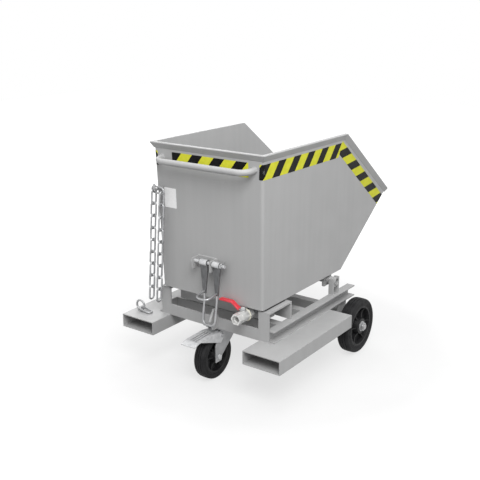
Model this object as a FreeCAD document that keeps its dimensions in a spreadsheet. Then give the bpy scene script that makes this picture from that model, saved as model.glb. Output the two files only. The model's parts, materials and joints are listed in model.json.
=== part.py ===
"""Tipping skip trolley: a steel skip on a low frame with two fork pockets, two fixed wheels and one castor.

Millimetres. +X is the trolley's right as seen from behind, +Y is forward, the way it tips, and +Z is up.
In the sizes, y is counted forward from the outside of the skip's back wall and z up from the floor.
The finished pieces are moved along Y so that the origin lies on the floor under the middle of the trolley.
"""
import FreeCAD, Part
import math
import os
import re
import Sketcher

# Driving dimensions, in millimetres unless the name ends in angle or share
SIZES = {
    # skip
    "skip_width": 520.0,
    "skip_wall": 3.0,
    "skip_height": 627.0,
    "floor_length": 624.0,
    "chute_run": 418.0,
    "lip_rise": 306.0,
    "side_lean": 12.0,
    "back_lean": 17.0,
    "corner_bend": 12.0,
    "corner_return": 40.0,
    "rim_length": 609.0,
    "rim_reach": 14.0,
    "rim_drop": 26.0,
    "rim_edge": 4.0,
    "rim_sheet": 3.0,
    # push handle
    "handle_tube": 25.0,
    "handle_wall": 2.5,
    "handle_inset": 30.0,
    "handle_reach": 66.0,
    "handle_drop": 68.0,
    "handle_rise": 8.0,
    "handle_bend": 48.0,
    # catch on the back wall
    "catch_out": 35.0,
    "catch_rise": 163.0,
    "catch_pin": 14.0,
    "catch_pin_head": 22.0,
    "catch_pin_head_tall": 6.0,
    "catch_pin_tail": 12.0,
    "bracket_left": 58.0,
    "bracket_right": 39.0,
    "bracket_edge": 15.0,
    "bracket_sheet": 6.0,
    "bracket_back": 4.0,
    "bracket_above": 14.0,
    "bracket_below": 33.0,
    "arm_left": 4.0,
    "arm_top_width": 40.0,
    "arm_foot_width": 15.0,
    "arm_sheet": 6.0,
    "arm_length": 131.0,
    "sleeve_wall": 5.0,
    "catch_nut_flats": 21.0,
    "catch_nut_tall": 9.0,
    "clip_wire": 3.0,
    "clip_loop": 16.0,
    "bail_rod": 10.0,
    "bail_bend": 22.0,
    "bail_neck": 24.0,
    "bail_neck_bend": 18.0,
    "bail_gap": 1.0,
    "bail_under": 2.0,
    "pull_rod": 9.0,
    "pull_reach": 60.0,
    "pull_rise": 8.0,
    "pull_droop": 10.0,
    "pull_neck": 12.0,
    "pull_neck_bend": 10.0,
    "pull_bend": 24.0,
    # ramp hook on the frame, under the catch
    "ramp_sheet": 10.0,
    "ramp_nose": 46.0,
    "ramp_nose_rise": 44.0,
    "ramp_nose_tall": 7.0,
    "ramp_above": 47.0,
    "ramp_crest": 20.0,
    "ramp_crest_width": 10.0,
    "ramp_notch": 28.0,
    "ramp_foot_rise": 7.0,
    # chain, its hook and its anchor
    "hook_inset": 20.0,
    "hook_drop": 193.0,
    "hook_play": 8.0,
    "hook_tail": 22.0,
    "hook_lift": 26.0,
    "hook_bend": 12.0,
    "chain_wall_clear": 8.0,
    "chain_lean_angle": 4.4,
    "link_wire": 8.0,
    "link_pitch": 54.0,
    "link_gap": 18.0,
    "link_slack": 0.5,
    "seat_share": 0.7,
    "strand_left_clear": 15.0,
    "strand_right_clear": 60.0,
    "eye_offset": 50.0,
    "eye_out": 30.0,
    "eye_play": 9.0,
    "eye_ring": 34.0,
    "eye_collar": 24.0,
    "eye_collar_tall": 5.0,
    # drain trough, screen and ball valve
    "trough_inset": 35.0,
    "trough_y": 70.0,
    "trough_length": 66.0,
    "trough_clear": 13.0,
    "trough_sheet": 3.0,
    "slot_margin": 12.0,
    "screen_sheet": 2.0,
    "screen_margin": 5.0,
    "screen_hole": 8.0,
    "screen_step": 20.0,
    "screen_row_step": 15.0,
    "nipple_diameter": 33.0,
    "nipple_bore": 25.0,
    "nipple_engaged": 14.0,
    "valve_inset": 49.0,
    "valve_lift": 38.0,
    "valve_out": 66.0,
    "valve_length": 98.0,
    "valve_end_flats": 42.0,
    "valve_end_length": 24.0,
    "valve_housing": 46.0,
    "valve_bore": 25.0,
    "valve_ball": 36.0,
    "stem_boss": 20.0,
    "stem_boss_tall": 4.0,
    "stem_diameter": 10.0,
    "stem_spare": 2.0,
    "lever_sheet": 3.0,
    "lever_width": 18.0,
    "lever_eye": 26.0,
    "lever_reach": 109.0,
    "lever_step": 22.0,
    "lever_step_start": 20.0,
    "lever_step_run": 32.0,
    "grip_side": 2.0,
    "grip_cover": 3.0,
    "grip_cap": 2.0,
    "lever_nut_flats": 17.0,
    "lever_nut_tall": 6.0,
    # tipping pivot
    "pivot_setback": 87.0,
    "pivot_drop": 26.0,
    "pivot_tube": 34.0,
    "pivot_wall": 4.0,
    "pivot_stand": 5.0,
    "lug_sheet": 12.0,
    "lug_inset": 22.0,
    "lug_length": 62.0,
    "lug_below": 26.0,
    "fork_clear": 5.0,
    "fork_width": 22.0,
    "fork_cheek": 11.0,
    "fork_saddle": 8.0,
    "fork_rise": 16.0,
    # frame
    "pocket_inset": 30.0,
    "pocket_width": 176.0,
    "pocket_height": 58.0,
    "pocket_wall": 4.0,
    "pocket_back": 104.0,
    "pocket_clear": 3.0,
    "rail_clear": 6.0,
    "rail_height": 50.0,
    "rail_depth": 38.0,
    "rail_sheet": 5.0,
    "rail_ahead": 93.0,
    "support_inset": 34.0,
    "support_width": 50.0,
    "support_sheet": 8.0,
    "support_back": 10.0,
    "support_length": 168.0,
    "support_rise": 77.0,
    "pad_thick": 8.0,
    "pad_width": 22.0,
    "pad_margin": 14.0,
    "castor_bar_step": 80.0,
    "middle_bar_y": 272.0,
    # castor
    "castor_trail": 59.0,
    "castor_wheel": 200.0,
    "castor_tread": 50.0,
    "castor_tyre_deep": 27.0,
    "castor_hub": 50.0,
    "castor_hub_stand": 3.0,
    "castor_bush": 32.0,
    "castor_axle": 12.0,
    "castor_head_flats": 19.0,
    "castor_head_tall": 8.0,
    "castor_axle_end": 5.0,
    "castor_plate_edge": 13.0,
    "castor_plate_side": 17.0,
    "castor_plate_thick": 6.0,
    "castor_race": 76.0,
    "castor_race_tall": 8.0,
    "castor_fork_top": 5.0,
    "castor_fork_head": 80.0,
    "castor_wheel_clear": 6.0,
    "castor_leg": 4.0,
    "castor_leg_foot": 22.0,
    "castor_leg_back": 48.0,
    "castor_leg_front": 56.0,
    "castor_leg_shoulder": 26.0,
    "foot_corner_share": 0.7,
    "kingpin": 16.0,
    "kingpin_head": 26.0,
    "kingpin_head_tall": 7.0,
    "castor_bolt": 10.0,
    "castor_bolt_flats": 17.0,
    "castor_bolt_tall": 7.0,
    "castor_bolt_wide": 76.0,
    "castor_bolt_back": 16.0,
    "castor_bolt_front": 16.0,
    "pedal_length": 161.0,
    "pedal_sheet": 3.0,
    "pedal_tip_drop": 7.0,
    "pedal_bend_back": 133.0,
    "pedal_bend_rise": 3.0,
    "pedal_crest_back": 29.0,
    "pedal_crest_rise": 7.0,
    "pedal_root_ahead": 8.0,
    "pedal_root_rise": 2.0,
    "pedal_pin": 8.0,
    "pedal_pin_head": 16.0,
    "pedal_pin_inset": 10.0,
    "pedal_pin_drop": 14.0,
    "pedal_cheek_nose": 10.0,
    "pedal_cheek_drop": 32.0,
    "pedal_cheek_back": 122.0,
    # fixed wheels
    "axle_ahead": 53.0,
    "wheel_diameter": 250.0,
    "wheel_gap": 42.0,
    "wheel_tread": 56.0,
    "wheel_tyre_deep": 33.0,
    "wheel_hub": 70.0,
    "wheel_hub_stand": 2.0,
    "wheel_bearing": 47.0,
    "wheel_bearing_wide": 12.0,
    "axle_diameter": 25.0,
    "axle_end": 6.0,
    "axle_nut_flats": 36.0,
    "axle_nut_tall": 12.0,
    "axle_flange": 46.0,
    "axle_flange_thick": 3.0,
    "axle_spacer": 36.0,
    "axle_plate_inset": 19.0,
    "axle_plate_sheet": 8.0,
    "axle_plate_length": 70.0,
    "axle_plate_below": 26.0,
    "axle_beam": 40.0,
    "axle_beam_wall": 4.0,
    "axle_beam_rise": 27.0,
    # wheel section, shared by both sizes of wheel
    "tyre_shoulder": 9.0,
    "tyre_crown": 2.0,
    "tyre_land": 10.0,
    "rim_band": 8.0,
    "rim_band_inset": 2.0,
    "rim_web": 7.0,
    "rim_dish": 6.0,
    # clearances, and the overrun that carries every cut past its faces
    "fit_fixed": 0.05,
    "fit_running": 0.08,
    "side_play": 0.4,
    "overrun": 20.0,
}

# Sizes and places worked out from the driving ones
WORKED = {
    # heights, from the floor up
    "castor_axle_z": "castor_wheel / 2",
    "fork_head_base": "castor_wheel + castor_wheel_clear",
    "fork_head_top": "fork_head_base + castor_fork_top",
    "castor_plate_base": "fork_head_top + castor_race_tall",
    "pocket_top": "castor_plate_base + castor_plate_thick",
    "pocket_base": "pocket_top - pocket_height",
    "rail_top": "pocket_top + rail_height",
    "support_top": "rail_top + support_rise",
    "skip_base": "support_top + pad_thick",
    "skip_top": "skip_base + skip_height",
    "lip_z": "skip_base + lip_rise",
    "trough_base": "rail_top + trough_clear",
    "pivot_z": "skip_base - pivot_drop",
    "axle_z": "wheel_diameter / 2",
    # lengths along the trolley
    "castor_bar_y": "support_back + castor_bar_step",
    "castor_bolt_line": "support_back + castor_bolt_back",
    "castor_bolt_long": "castor_bar_y + castor_bolt_front - castor_bolt_line",
    "castor_y": "castor_bolt_line + castor_bolt_long / 2",
    "castor_axle_y": "castor_y - castor_trail",
    "pedal_tip_y": "castor_axle_y - pedal_length",
    "lip_y": "floor_length + chute_run",
    "mid_y": "(lip_y + pedal_tip_y) / 2",
    "pivot_y": "floor_length - pivot_setback",
    "axle_y": "pivot_y + axle_ahead",
    "rail_back": "support_back + support_sheet",
    "rail_front": "axle_y + rail_ahead",
    "pocket_front": "axle_y - wheel_diameter / 2 - pocket_clear",
    "support_front": "support_back + support_length",
    # widths from the middle
    "skip_half": "skip_width / 2",
    "skip_inner": "skip_half - skip_wall",
    "rail_x": "skip_half + rail_clear",
    "support_inner": "rail_x - support_inset",
    "support_x": "support_inner + support_width / 2",
    "pocket_x": "rail_x - pocket_inset + pocket_width / 2",
    "fork_x": "skip_half + fork_clear + fork_width / 2",
    "pivot_half": "fork_x + fork_width / 2 + pivot_stand",
    "lug_x": "skip_half - lug_inset",
    "axle_plate_x": "rail_x + axle_plate_inset + axle_plate_sheet / 2",
    "axle_plate_outer": "axle_plate_x + axle_plate_sheet / 2",
    "wheel_hub_length": "wheel_tread + 2 * wheel_hub_stand",
    "hub_inner_x": "axle_plate_outer + wheel_gap",
    "wheel_x": "hub_inner_x + wheel_hub_length / 2",
    "hub_outer_x": "hub_inner_x + wheel_hub_length",
    "axle_nut_x": "hub_outer_x + side_play",
    "axle_half": "axle_nut_x + axle_nut_tall + axle_end",
    # skip and rim
    "side_lean_share": "side_lean / skip_height",
    "back_lean_share": "back_lean / skip_height",
    "chute_tall": "skip_wall * sqrt(chute_run ^ 2 + lip_rise ^ 2) / chute_run",
    "slope_run": "lip_y - rim_length",
    "slope_drop": "skip_top - lip_z",
    "slope_length": "sqrt(slope_run ^ 2 + slope_drop ^ 2)",
    "slope_half_share": "(slope_length - slope_run) / slope_drop",
    "handle_height": "skip_top - handle_drop",
    "handle_half": "skip_half - handle_inset",
    # catch and ramp
    "catch_height": "skip_base + catch_rise",
    "bracket_tall": "bracket_above + bracket_below",
    "bracket_base": "catch_height - bracket_below",
    "bracket_reach": "catch_out + bracket_edge",
    "bracket_lean": "back_lean_share * (catch_rise + bracket_above)",
    "arm_right": "bracket_right + side_play + arm_top_width / 2",
    "arm_foot": "catch_height - arm_length",
    "arm_front": "-catch_out - arm_sheet / 2",
    "sleeve_diameter": "catch_pin + 2 * sleeve_wall",
    "catch_nut_x": "arm_right + arm_top_width / 2 + side_play",
    "catch_clip_x": "catch_nut_x + catch_nut_tall + catch_pin_tail / 2",
    "catch_pin_end": "catch_nut_x + catch_nut_tall + catch_pin_tail",
    "pull_height": "arm_foot + pull_rise",
    "ramp_x": "(arm_right - arm_left) / 2",
    "ramp_nose_base": "pocket_top + ramp_nose_rise",
    "ramp_top": "rail_top + ramp_above",
    "ramp_foot": "pocket_top + ramp_foot_rise",
    "bail_base": "ramp_nose_base - bail_under - bail_rod / 2",
    "bail_out": "ramp_nose + bail_gap + bail_rod / 2",
    # chain
    "link_width": "link_gap + 2 * link_wire",
    "hook_x": "skip_half - hook_inset",
    "hook_height": "skip_top - hook_drop",
    "hook_lean": "back_lean_share * (hook_height - skip_base)",
    "chain_out": "hook_lean + chain_wall_clear + link_width / 2",
    "hook_rod": "link_gap - hook_play",
    "hook_reach": "chain_out + hook_tail",
    "chain_top": "hook_height - (link_gap / 2 - hook_rod / 2 - fit_running)",
    "link_bend": "(link_gap + link_wire) / 2",
    "link_straight": "(link_pitch + link_wire) / 2 - link_bend",
    "seat_play": "(link_gap - link_wire) / 2 - link_slack",
    "first_drop": "(link_pitch + link_wire) / 2 + seat_play * seat_share",
    "link_step": "link_pitch - link_slack",
    "link_half": "link_pitch / 2 + link_wire",
    "strand_beside": "link_straight + seat_play * seat_share",
    "strand_room": "chain_top - first_drop - link_half - pocket_top",
    "eye_x": "pocket_x + eye_offset",
    "eye_wire": "link_gap - eye_play",
    "eye_mid_z": "pocket_top + eye_collar_tall + eye_ring / 2 + eye_wire / 2",
    "anchor_high": "eye_mid_z - eye_ring / 2 + link_wire / 2 + link_slack",
    "anchor_low": "pocket_top + link_wire / 2 + fit_running",
    "anchor_span": "link_pitch + link_wire",
    # drain and valve
    "trough_width": "skip_width - 2 * trough_inset",
    "trough_tall": "skip_base - trough_base",
    "valve_x": "trough_width / 2 - valve_inset",
    "valve_z": "trough_base + valve_lift",
    "valve_front": "valve_length - valve_out",
    "valve_mid": "valve_length / 2 - valve_out",
    "stem_boss_top": "valve_z + valve_housing / 2 + stem_boss_tall",
    "lever_top": "stem_boss_top + lever_sheet",
    "stem_top": "lever_top + lever_nut_tall + stem_spare",
    "lever_step_end": "lever_step_start + lever_step_run",
    "grip_start": "lever_eye / 2 + grip_cap",
    # pivot
    "fork_seat": "pivot_tube / 2 + fit_running",
    "lug_seat": "pivot_tube / 2 + fit_fixed",
    "fork_tall": "pivot_z + fork_rise - rail_top",
    # castor
    "castor_hub_length": "castor_tread + 2 * castor_hub_stand",
    "castor_leg_inner": "castor_hub_length / 2 + 2 * side_play",
    "castor_leg_x": "castor_leg_inner + castor_leg / 2",
    "castor_leg_outer": "castor_leg_inner + castor_leg",
    "pedal_pin_y": "castor_y - castor_leg_back + pedal_pin_inset",
    "pedal_pin_z": "fork_head_base - pedal_pin_drop",
    "pedal_inner": "castor_leg_outer + side_play",
    "pedal_outer": "pedal_inner + pedal_sheet",
    "foot_corner": "castor_leg_foot * foot_corner_share",
}

SIDES = (("left", -1), ("right", 1))
FULL_TURN = 360
QUARTER_TURN = 90
HEX_SIDES = 6
STRAIGHT_SHARE = 0.5
WORD = re.compile(r"[a-z_]+")

# Where the plane of a sketch lies: its role in the body, and the direction it is thickened in
PLANES = {"YZ": ("YZ_Plane", "x"), "XZ": ("XZ_Plane", "y")}
# Turns that lay an upright cylinder, ring or prism along each axis
LAID = {
    "x": FreeCAD.Rotation(FreeCAD.Vector(0, 1, 0), QUARTER_TURN),
    "y": FreeCAD.Rotation(FreeCAD.Vector(1, 0, 0), -QUARTER_TURN),
    "z": FreeCAD.Rotation(),
}

doc = FreeCAD.newDocument("tipping_skip_trolley")
sheet = doc.addObject("Spreadsheet::Sheet", "sizes")
pieces = {}


def fill_sheet():
    """Write every driving dimension into the sheet under its own name."""
    for row, (name, size) in enumerate(SIZES.items(), start=1):
        sheet.set("A%d" % row, name)
        sheet.set("B%d" % row, str(size))
        sheet.setAlias("B%d" % row, name)
    doc.recompute()


def formula(text):
    """Turn a sum written in the names above into an expression on the sheet."""
    def swap(word):
        name = word.group()
        if name in SIZES:
            return "sizes." + name
        if name in WORKED:
            return "(" + formula(WORKED[name]) + ")"
        return name
    return WORD.sub(swap, text)


def number(text):
    """The value of such a sum."""
    return float(sheet.evalExpression(formula(text)))


def spot(x, y, z):
    """A point of the finished part, from three sums."""
    return FreeCAD.Vector(number(x), number(y) - number("mid_y"), number(z))


def bind(item, **sums):
    """Bind properties to sums on the sheet; x, y and z place the item."""
    for name, text in sums.items():
        if name == "y":
            text = "(" + text + ") - mid_y"
        path = "Placement.Base." + name if name in ("x", "y", "z") else name
        item.setExpression(path, formula(text))
    return item


def keep(name, item):
    """Name a finished sub-part and list it for writing."""
    item.Label = name
    pieces[name] = item


def block(middle_x, low_y, low_z, wide, long, tall):
    """A box from its middle across, its back and its underside."""
    box = doc.addObject("Part::Box", "block")
    bind(box, Length=wide, Width=long, Height=tall)
    return bind(box, x="(%s) - (%s) / 2" % (middle_x, wide), y=low_y, z=low_z)


def rod(axis, diameter, length, x, y, z):
    """A round bar that starts at a point and runs along an axis."""
    bar = doc.addObject("Part::Cylinder", "rod")
    bar.Placement.Rotation = LAID[axis]
    bind(bar, Radius="(%s) / 2" % diameter, Height=length)
    return bind(bar, x=x, y=y, z=z)


def cross_rod(diameter, length, middle_x, y, z):
    """A round bar across the trolley, from its middle."""
    return rod("x", diameter, length, "(%s) - (%s) / 2" % (middle_x, length), y, z)


def hexagon(axis, flats, length, x, y, z):
    """A six-sided bar, sized across its flats."""
    bar = doc.addObject("Part::Prism", "hexagon")
    bar.Polygon = HEX_SIDES
    bar.Placement.Rotation = LAID[axis]
    bind(bar, Circumradius="(%s) / sqrt(3)" % flats, Height=length)
    return bind(bar, x=x, y=y, z=z)


def join(*items):
    """Items welded into one solid."""
    whole = doc.addObject("Part::MultiFuse", "join")
    whole.Shapes = list(items)
    whole.Refine = True
    return whole


def cut(base, *tools):
    """A base with tools taken out of it."""
    rest = doc.addObject("Part::Cut", "cut")
    rest.Base = base
    rest.Tool = tools[0] if len(tools) == 1 else join(*tools)
    return rest


def shared(*items):
    """What items have in common."""
    rest = doc.addObject("Part::MultiCommon", "shared")
    rest.Shapes = list(items)
    return rest


def runs_along(edge, axis):
    """Whether a straight edge runs along an axis."""
    return abs(getattr(edge.tangentAt(edge.FirstParameter), axis)) > STRAIGHT_SHARE


def rounded(base, choose):
    """A solid with some edges rounded; choose gives the sum for an edge's radius, or nothing."""
    doc.recompute()
    whole = doc.addObject("Part::Fillet", "rounded")
    whole.Base = base
    bends = [(index, choose(edge)) for index, edge in enumerate(base.Shape.Edges, start=1)]
    whole.Edges = [(index, number(bend), number(bend)) for index, bend in bends if bend]
    return whole


def group(*items):
    """Separate solids under one name."""
    bunch = doc.addObject("Part::Compound", "group")
    bunch.Links = list(items)
    return bunch


def ring(axis, outer, inner, length, x, y, z):
    """A plain tube along an axis."""
    return cut(rod(axis, outer, length, x, y, z), rod(axis, inner, length, x, y, z))


def cross_ring(outer, inner, length, middle_x, y, z):
    """A plain tube across the trolley, from its middle."""
    return cut(cross_rod(outer, length, middle_x, y, z), cross_rod(inner, length, middle_x, y, z))


def nut(axis, flats, bore, length, x, y, z):
    """A six-sided nut along an axis."""
    return cut(hexagon(axis, flats, length, x, y, z), rod(axis, bore, length, x, y, z))


def shaped(shape):
    """A solid whose form no primitive or sketch gives, already in place."""
    item = doc.addObject("Part::Feature", "shaped")
    item.Shape = shape
    return item


def outline_sketch(body, role, points):
    """A closed outline of straight runs, every corner bound to the sheet."""
    sketch = body.newObject("Sketcher::SketchObject", "outline")
    plane = [feature for feature in body.Origin.OriginFeatures if feature.Role == role][0]
    sketch.AttachmentSupport = [(plane, "")]
    sketch.MapMode = "FlatFace"
    corners = [FreeCAD.Vector(number(across), number(up), 0) for across, up in points]
    count = len(corners)
    for index, corner in enumerate(corners):
        sketch.addGeometry(Part.LineSegment(corner, corners[(index + 1) % count]), False)
    for index in range(count):
        sketch.addConstraint(Sketcher.Constraint("Coincident", index, 2, (index + 1) % count, 1))
    for index, point in enumerate(points):
        for kind, axis, text in zip(("DistanceX", "DistanceY"), (-2, -1), point):
            if text == "0":
                sketch.addConstraint(Sketcher.Constraint("PointOnObject", index, 1, axis))
            else:
                place = sketch.addConstraint(Sketcher.Constraint(kind, -1, 1, index, 1, number(text)))
                sketch.setExpression("Constraints[%d]" % place, formula(text))
    return sketch


def plate(plane, outline, thickness, middle):
    """A flat piece: an outline in a plane, thickened evenly about its middle."""
    role, normal = PLANES[plane]
    body = doc.addObject("PartDesign::Body", "plate")
    sketch = outline_sketch(body, role, outline)
    pad = body.newObject("PartDesign::Pad", "thickness")
    pad.Profile = sketch
    pad.Midplane = True
    pad.setExpression("Length", formula(thickness))
    body.Tip = pad
    places = {"y": "0"}
    places[normal] = middle
    return bind(body, **places)


def turned(section, x, y, z):
    """A piece turned about a line across the trolley: a section of (along, radius) sums."""
    body = doc.addObject("PartDesign::Body", "turned")
    sketch = outline_sketch(body, "XY_Plane", section)
    spin = body.newObject("PartDesign::Revolution", "spin")
    spin.Profile = sketch
    spin.ReferenceAxis = (sketch, ["H_Axis"])
    spin.Angle = FULL_TURN
    body.Tip = spin
    return bind(body, x=x, y=y, z=z)


def bent_wire(points, bends):
    """A path of straight runs whose inner corners are rounded by the bends given."""
    edges = []
    start = points[0]
    for before, corner, after, bend in zip(points, points[1:], points[2:], bends):
        back = (before - corner).normalize()
        ahead = (after - corner).normalize()
        half = back.getAngle(ahead) / 2
        inward = (back + ahead).normalize()
        entry = corner + back * (bend / math.tan(half))
        leave = corner + ahead * (bend / math.tan(half))
        crest = corner + inward * (bend / math.sin(half) - bend)
        edges.append(Part.LineSegment(start, entry).toShape())
        edges.append(Part.Arc(entry, crest, leave).toShape())
        start = leave
    edges.append(Part.LineSegment(start, points[-1]).toShape())
    return Part.Wire(edges)


def round_bar(path, diameter):
    """A round bar that follows a path."""
    edge = path.Edges[0]
    place = edge.valueAt(edge.FirstParameter)
    heading = edge.tangentAt(edge.FirstParameter)
    section = Part.Wire(Part.makeCircle(diameter / 2, place, heading))
    return path.makePipeShell([section], True, False)


def bent_rod(points, bends, diameter):
    """A bar bent from points, bends and a diameter, all written as sums."""
    path = bent_wire([spot(*point) for point in points], [number(bend) for bend in bends])
    return round_bar(path, number(diameter))


def skip_section(height, inset):
    """A level section of the leaning skip: rounded corners at the back, square ends past the lip."""
    level = number(height)
    rise = level - number("skip_base")
    half = number("skip_half") + number("side_lean_share") * rise - inset
    back = inset - number("back_lean_share") * rise - number("mid_y")
    front = number("lip_y + overrun - mid_y")
    bend = number("corner_bend") - inset
    places = ((half, front), (half, back), (-half, back), (-half, front))
    corners = [FreeCAD.Vector(x, y, level) for x, y in places]
    open_path = bent_wire(corners, [bend, bend])
    return Part.Wire(open_path.Edges + [Part.LineSegment(corners[-1], corners[0]).toShape()])


def skip_form(low, high, inset):
    """The skip as a solid form between two levels, its walls moved in by an inset."""
    return shaped(Part.makeLoft([skip_section(low, inset), skip_section(high, inset)], True, True))


def make_skip_walls():
    """The sheets of the skip: the back bent round to both sides, two sides, floor and sloping chute.

    All four walls lean outward. The outer form is given back, so that other pieces can be seated on it.
    """
    def floor_bend(edge):
        """The bend of the floor's two back corners, clear of the bend round them."""
        near = edge.CenterOfMass.y + number("mid_y") < number("floor_length / 2")
        return "corner_bend" if near and runs_along(edge, "z") else None

    outside = skip_form("skip_base", "skip_top", 0)
    inside = skip_form("skip_base - overrun", "skip_top + overrun", number("skip_wall"))
    shell = cut(outside, inside)
    across = "2 * (skip_half + side_lean + overrun)"
    back_half = block("0", "-back_lean - overrun", "skip_base", across, "back_lean + overrun + corner_return",
                      "skip_height")
    keep("skip_back_wall", shared(shell, back_half))
    side_outline = [
        ("corner_return", "skip_base"),
        ("floor_length", "skip_base"),
        ("lip_y", "lip_z"),
        ("rim_length", "skip_top"),
        ("corner_return", "skip_top"),
    ]
    for side, sign in SIDES:
        side_half = plate("YZ", side_outline, "skip_half", "%d * skip_half" % sign)
        keep("skip_side_" + side, shared(shell, side_half))
    floor = block("0", "skip_wall", "skip_base", "2 * skip_inner", "floor_length - skip_wall", "skip_wall")
    slot = block("0", "trough_y + slot_margin", "skip_base - overrun", "trough_width - 2 * slot_margin",
                 "trough_length - 2 * slot_margin", "2 * overrun")
    keep("skip_floor", cut(rounded(floor, floor_bend), slot))
    chute_outline = [
        ("floor_length", "skip_base"),
        ("lip_y", "lip_z"),
        ("lip_y", "lip_z + chute_tall"),
        ("floor_length", "skip_base + chute_tall"),
    ]
    keep("skip_chute", shared(inside, plate("YZ", chute_outline, across, "0")))
    return outside


def rim_section(place):
    """The rim's bent sheet at one station; place turns (outward, upward) into a point."""
    reach = number("rim_reach")
    drop = number("rim_drop")
    thick = number("rim_sheet")
    slant = math.hypot(reach, drop)
    upright = thick * slant / reach
    edge_share = number("rim_edge") / slant
    corners = [
        (0, 0),
        (reach - number("rim_edge"), 0),
        (reach * (1 - edge_share), -drop * edge_share),
        (0, -drop),
        (0, upright - drop),
        ((drop - upright - thick) * reach / drop, -thick),
        (0, -thick),
    ]
    return Part.makePolygon([place(*corner) for corner in corners + corners[:1]])


def make_rim():
    """The folded rim round the skip's top edge, mitred and welded at the back corners and at the bends."""
    base = number("skip_base")
    top = number("skip_top")
    back = -number("mid_y")
    bend_y = back + number("rim_length")
    lip_y = back + number("lip_y")
    lip_z = number("lip_z")
    lean = number("slope_half_share")
    down_share = number("slope_drop / slope_length")
    along_share = number("slope_run / slope_length")

    def beside(sign, out, y, z):
        """A point so far out from a leaning side wall."""
        wall = number("skip_half") + number("side_lean_share") * (z - base)
        return FreeCAD.Vector(sign * (wall + out), y, z)

    def behind(out, z):
        """The y of a point so far out from the leaning back wall."""
        return back - number("back_lean_share") * (z - base) - out

    corners = []
    sides = []
    for side, sign in SIDES:
        corner = rim_section(lambda out, up: beside(sign, out, behind(out, top + up), top + up))
        bend = rim_section(lambda out, up: beside(sign, out, bend_y + up * lean, top + up))
        lip = rim_section(lambda out, up: beside(sign, out, lip_y + up * down_share,
                                                 lip_z + up * along_share))
        corners.append(corner)
        sides.append(Part.makeLoft([corner, bend, lip], True, True))
    keep("skip_rim", shaped(Part.makeLoft(corners, True, True).fuse(sides)))


def make_handle(skip):
    """The push handle: one tube bent up and back to the wall at both ends."""
    points = [
        ("-handle_half", "0", "handle_height + handle_rise"),
        ("-handle_half", "-handle_reach", "handle_height"),
        ("handle_half", "-handle_reach", "handle_height"),
        ("handle_half", "0", "handle_height + handle_rise"),
    ]
    bends = ["handle_bend", "handle_bend"]
    outside = bent_rod(points, bends, "handle_tube")
    inside = bent_rod(points, bends, "handle_tube - 2 * handle_wall")
    keep("push_handle", cut(shaped(outside.cut(inside)), skip))


def make_catch_mount(skip):
    """The bracket on the back wall, with the pin, nut and clip that carry the catch."""
    at = ("-catch_out", "catch_height")
    back = block("(bracket_right - bracket_left) / 2", "-bracket_lean - bracket_back", "bracket_base",
                 "bracket_left + bracket_right", "bracket_lean + bracket_back", "bracket_tall")
    cheeks = [
        block(middle, "-bracket_reach", "bracket_base", "bracket_sheet", "bracket_reach", "bracket_tall")
        for middle in ("bracket_sheet / 2 - bracket_left", "bracket_right - bracket_sheet / 2")
    ]
    bore = "catch_pin + 2 * fit_fixed"
    hole = rod("x", bore, "bracket_left + bracket_right + 2 * overrun", "-bracket_left - overrun", *at)
    keep("catch_bracket", cut(join(back, *cheeks), hole, skip))
    head = rod("x", "catch_pin_head", "catch_pin_head_tall", "-bracket_left - catch_pin_head_tall", *at)
    shank = rod("x", "catch_pin", "bracket_left + catch_pin_end", "-bracket_left", *at)
    clip_hole = rod("y", "clip_wire + 2 * fit_fixed", "2 * overrun", "catch_clip_x", "-catch_out - overrun",
                    "catch_height")
    keep("catch_pin", cut(join(head, shank), clip_hole))
    keep("catch_nut", nut("x", "catch_nut_flats", bore, "catch_nut_tall", "catch_nut_x", *at))
    clip_points = [
        ("catch_clip_x", "catch_pin - catch_out", "catch_height"),
        ("catch_clip_x", "-catch_out - clip_loop", "catch_height"),
        ("catch_clip_x", "-catch_out - clip_loop", "catch_height + clip_loop"),
        ("catch_clip_x", "catch_pin / 2 - catch_out", "catch_height + clip_loop"),
    ]
    keep("catch_clip", shaped(bent_rod(clip_points, ["clip_loop / 3", "clip_loop / 3"], "clip_wire")))


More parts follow.
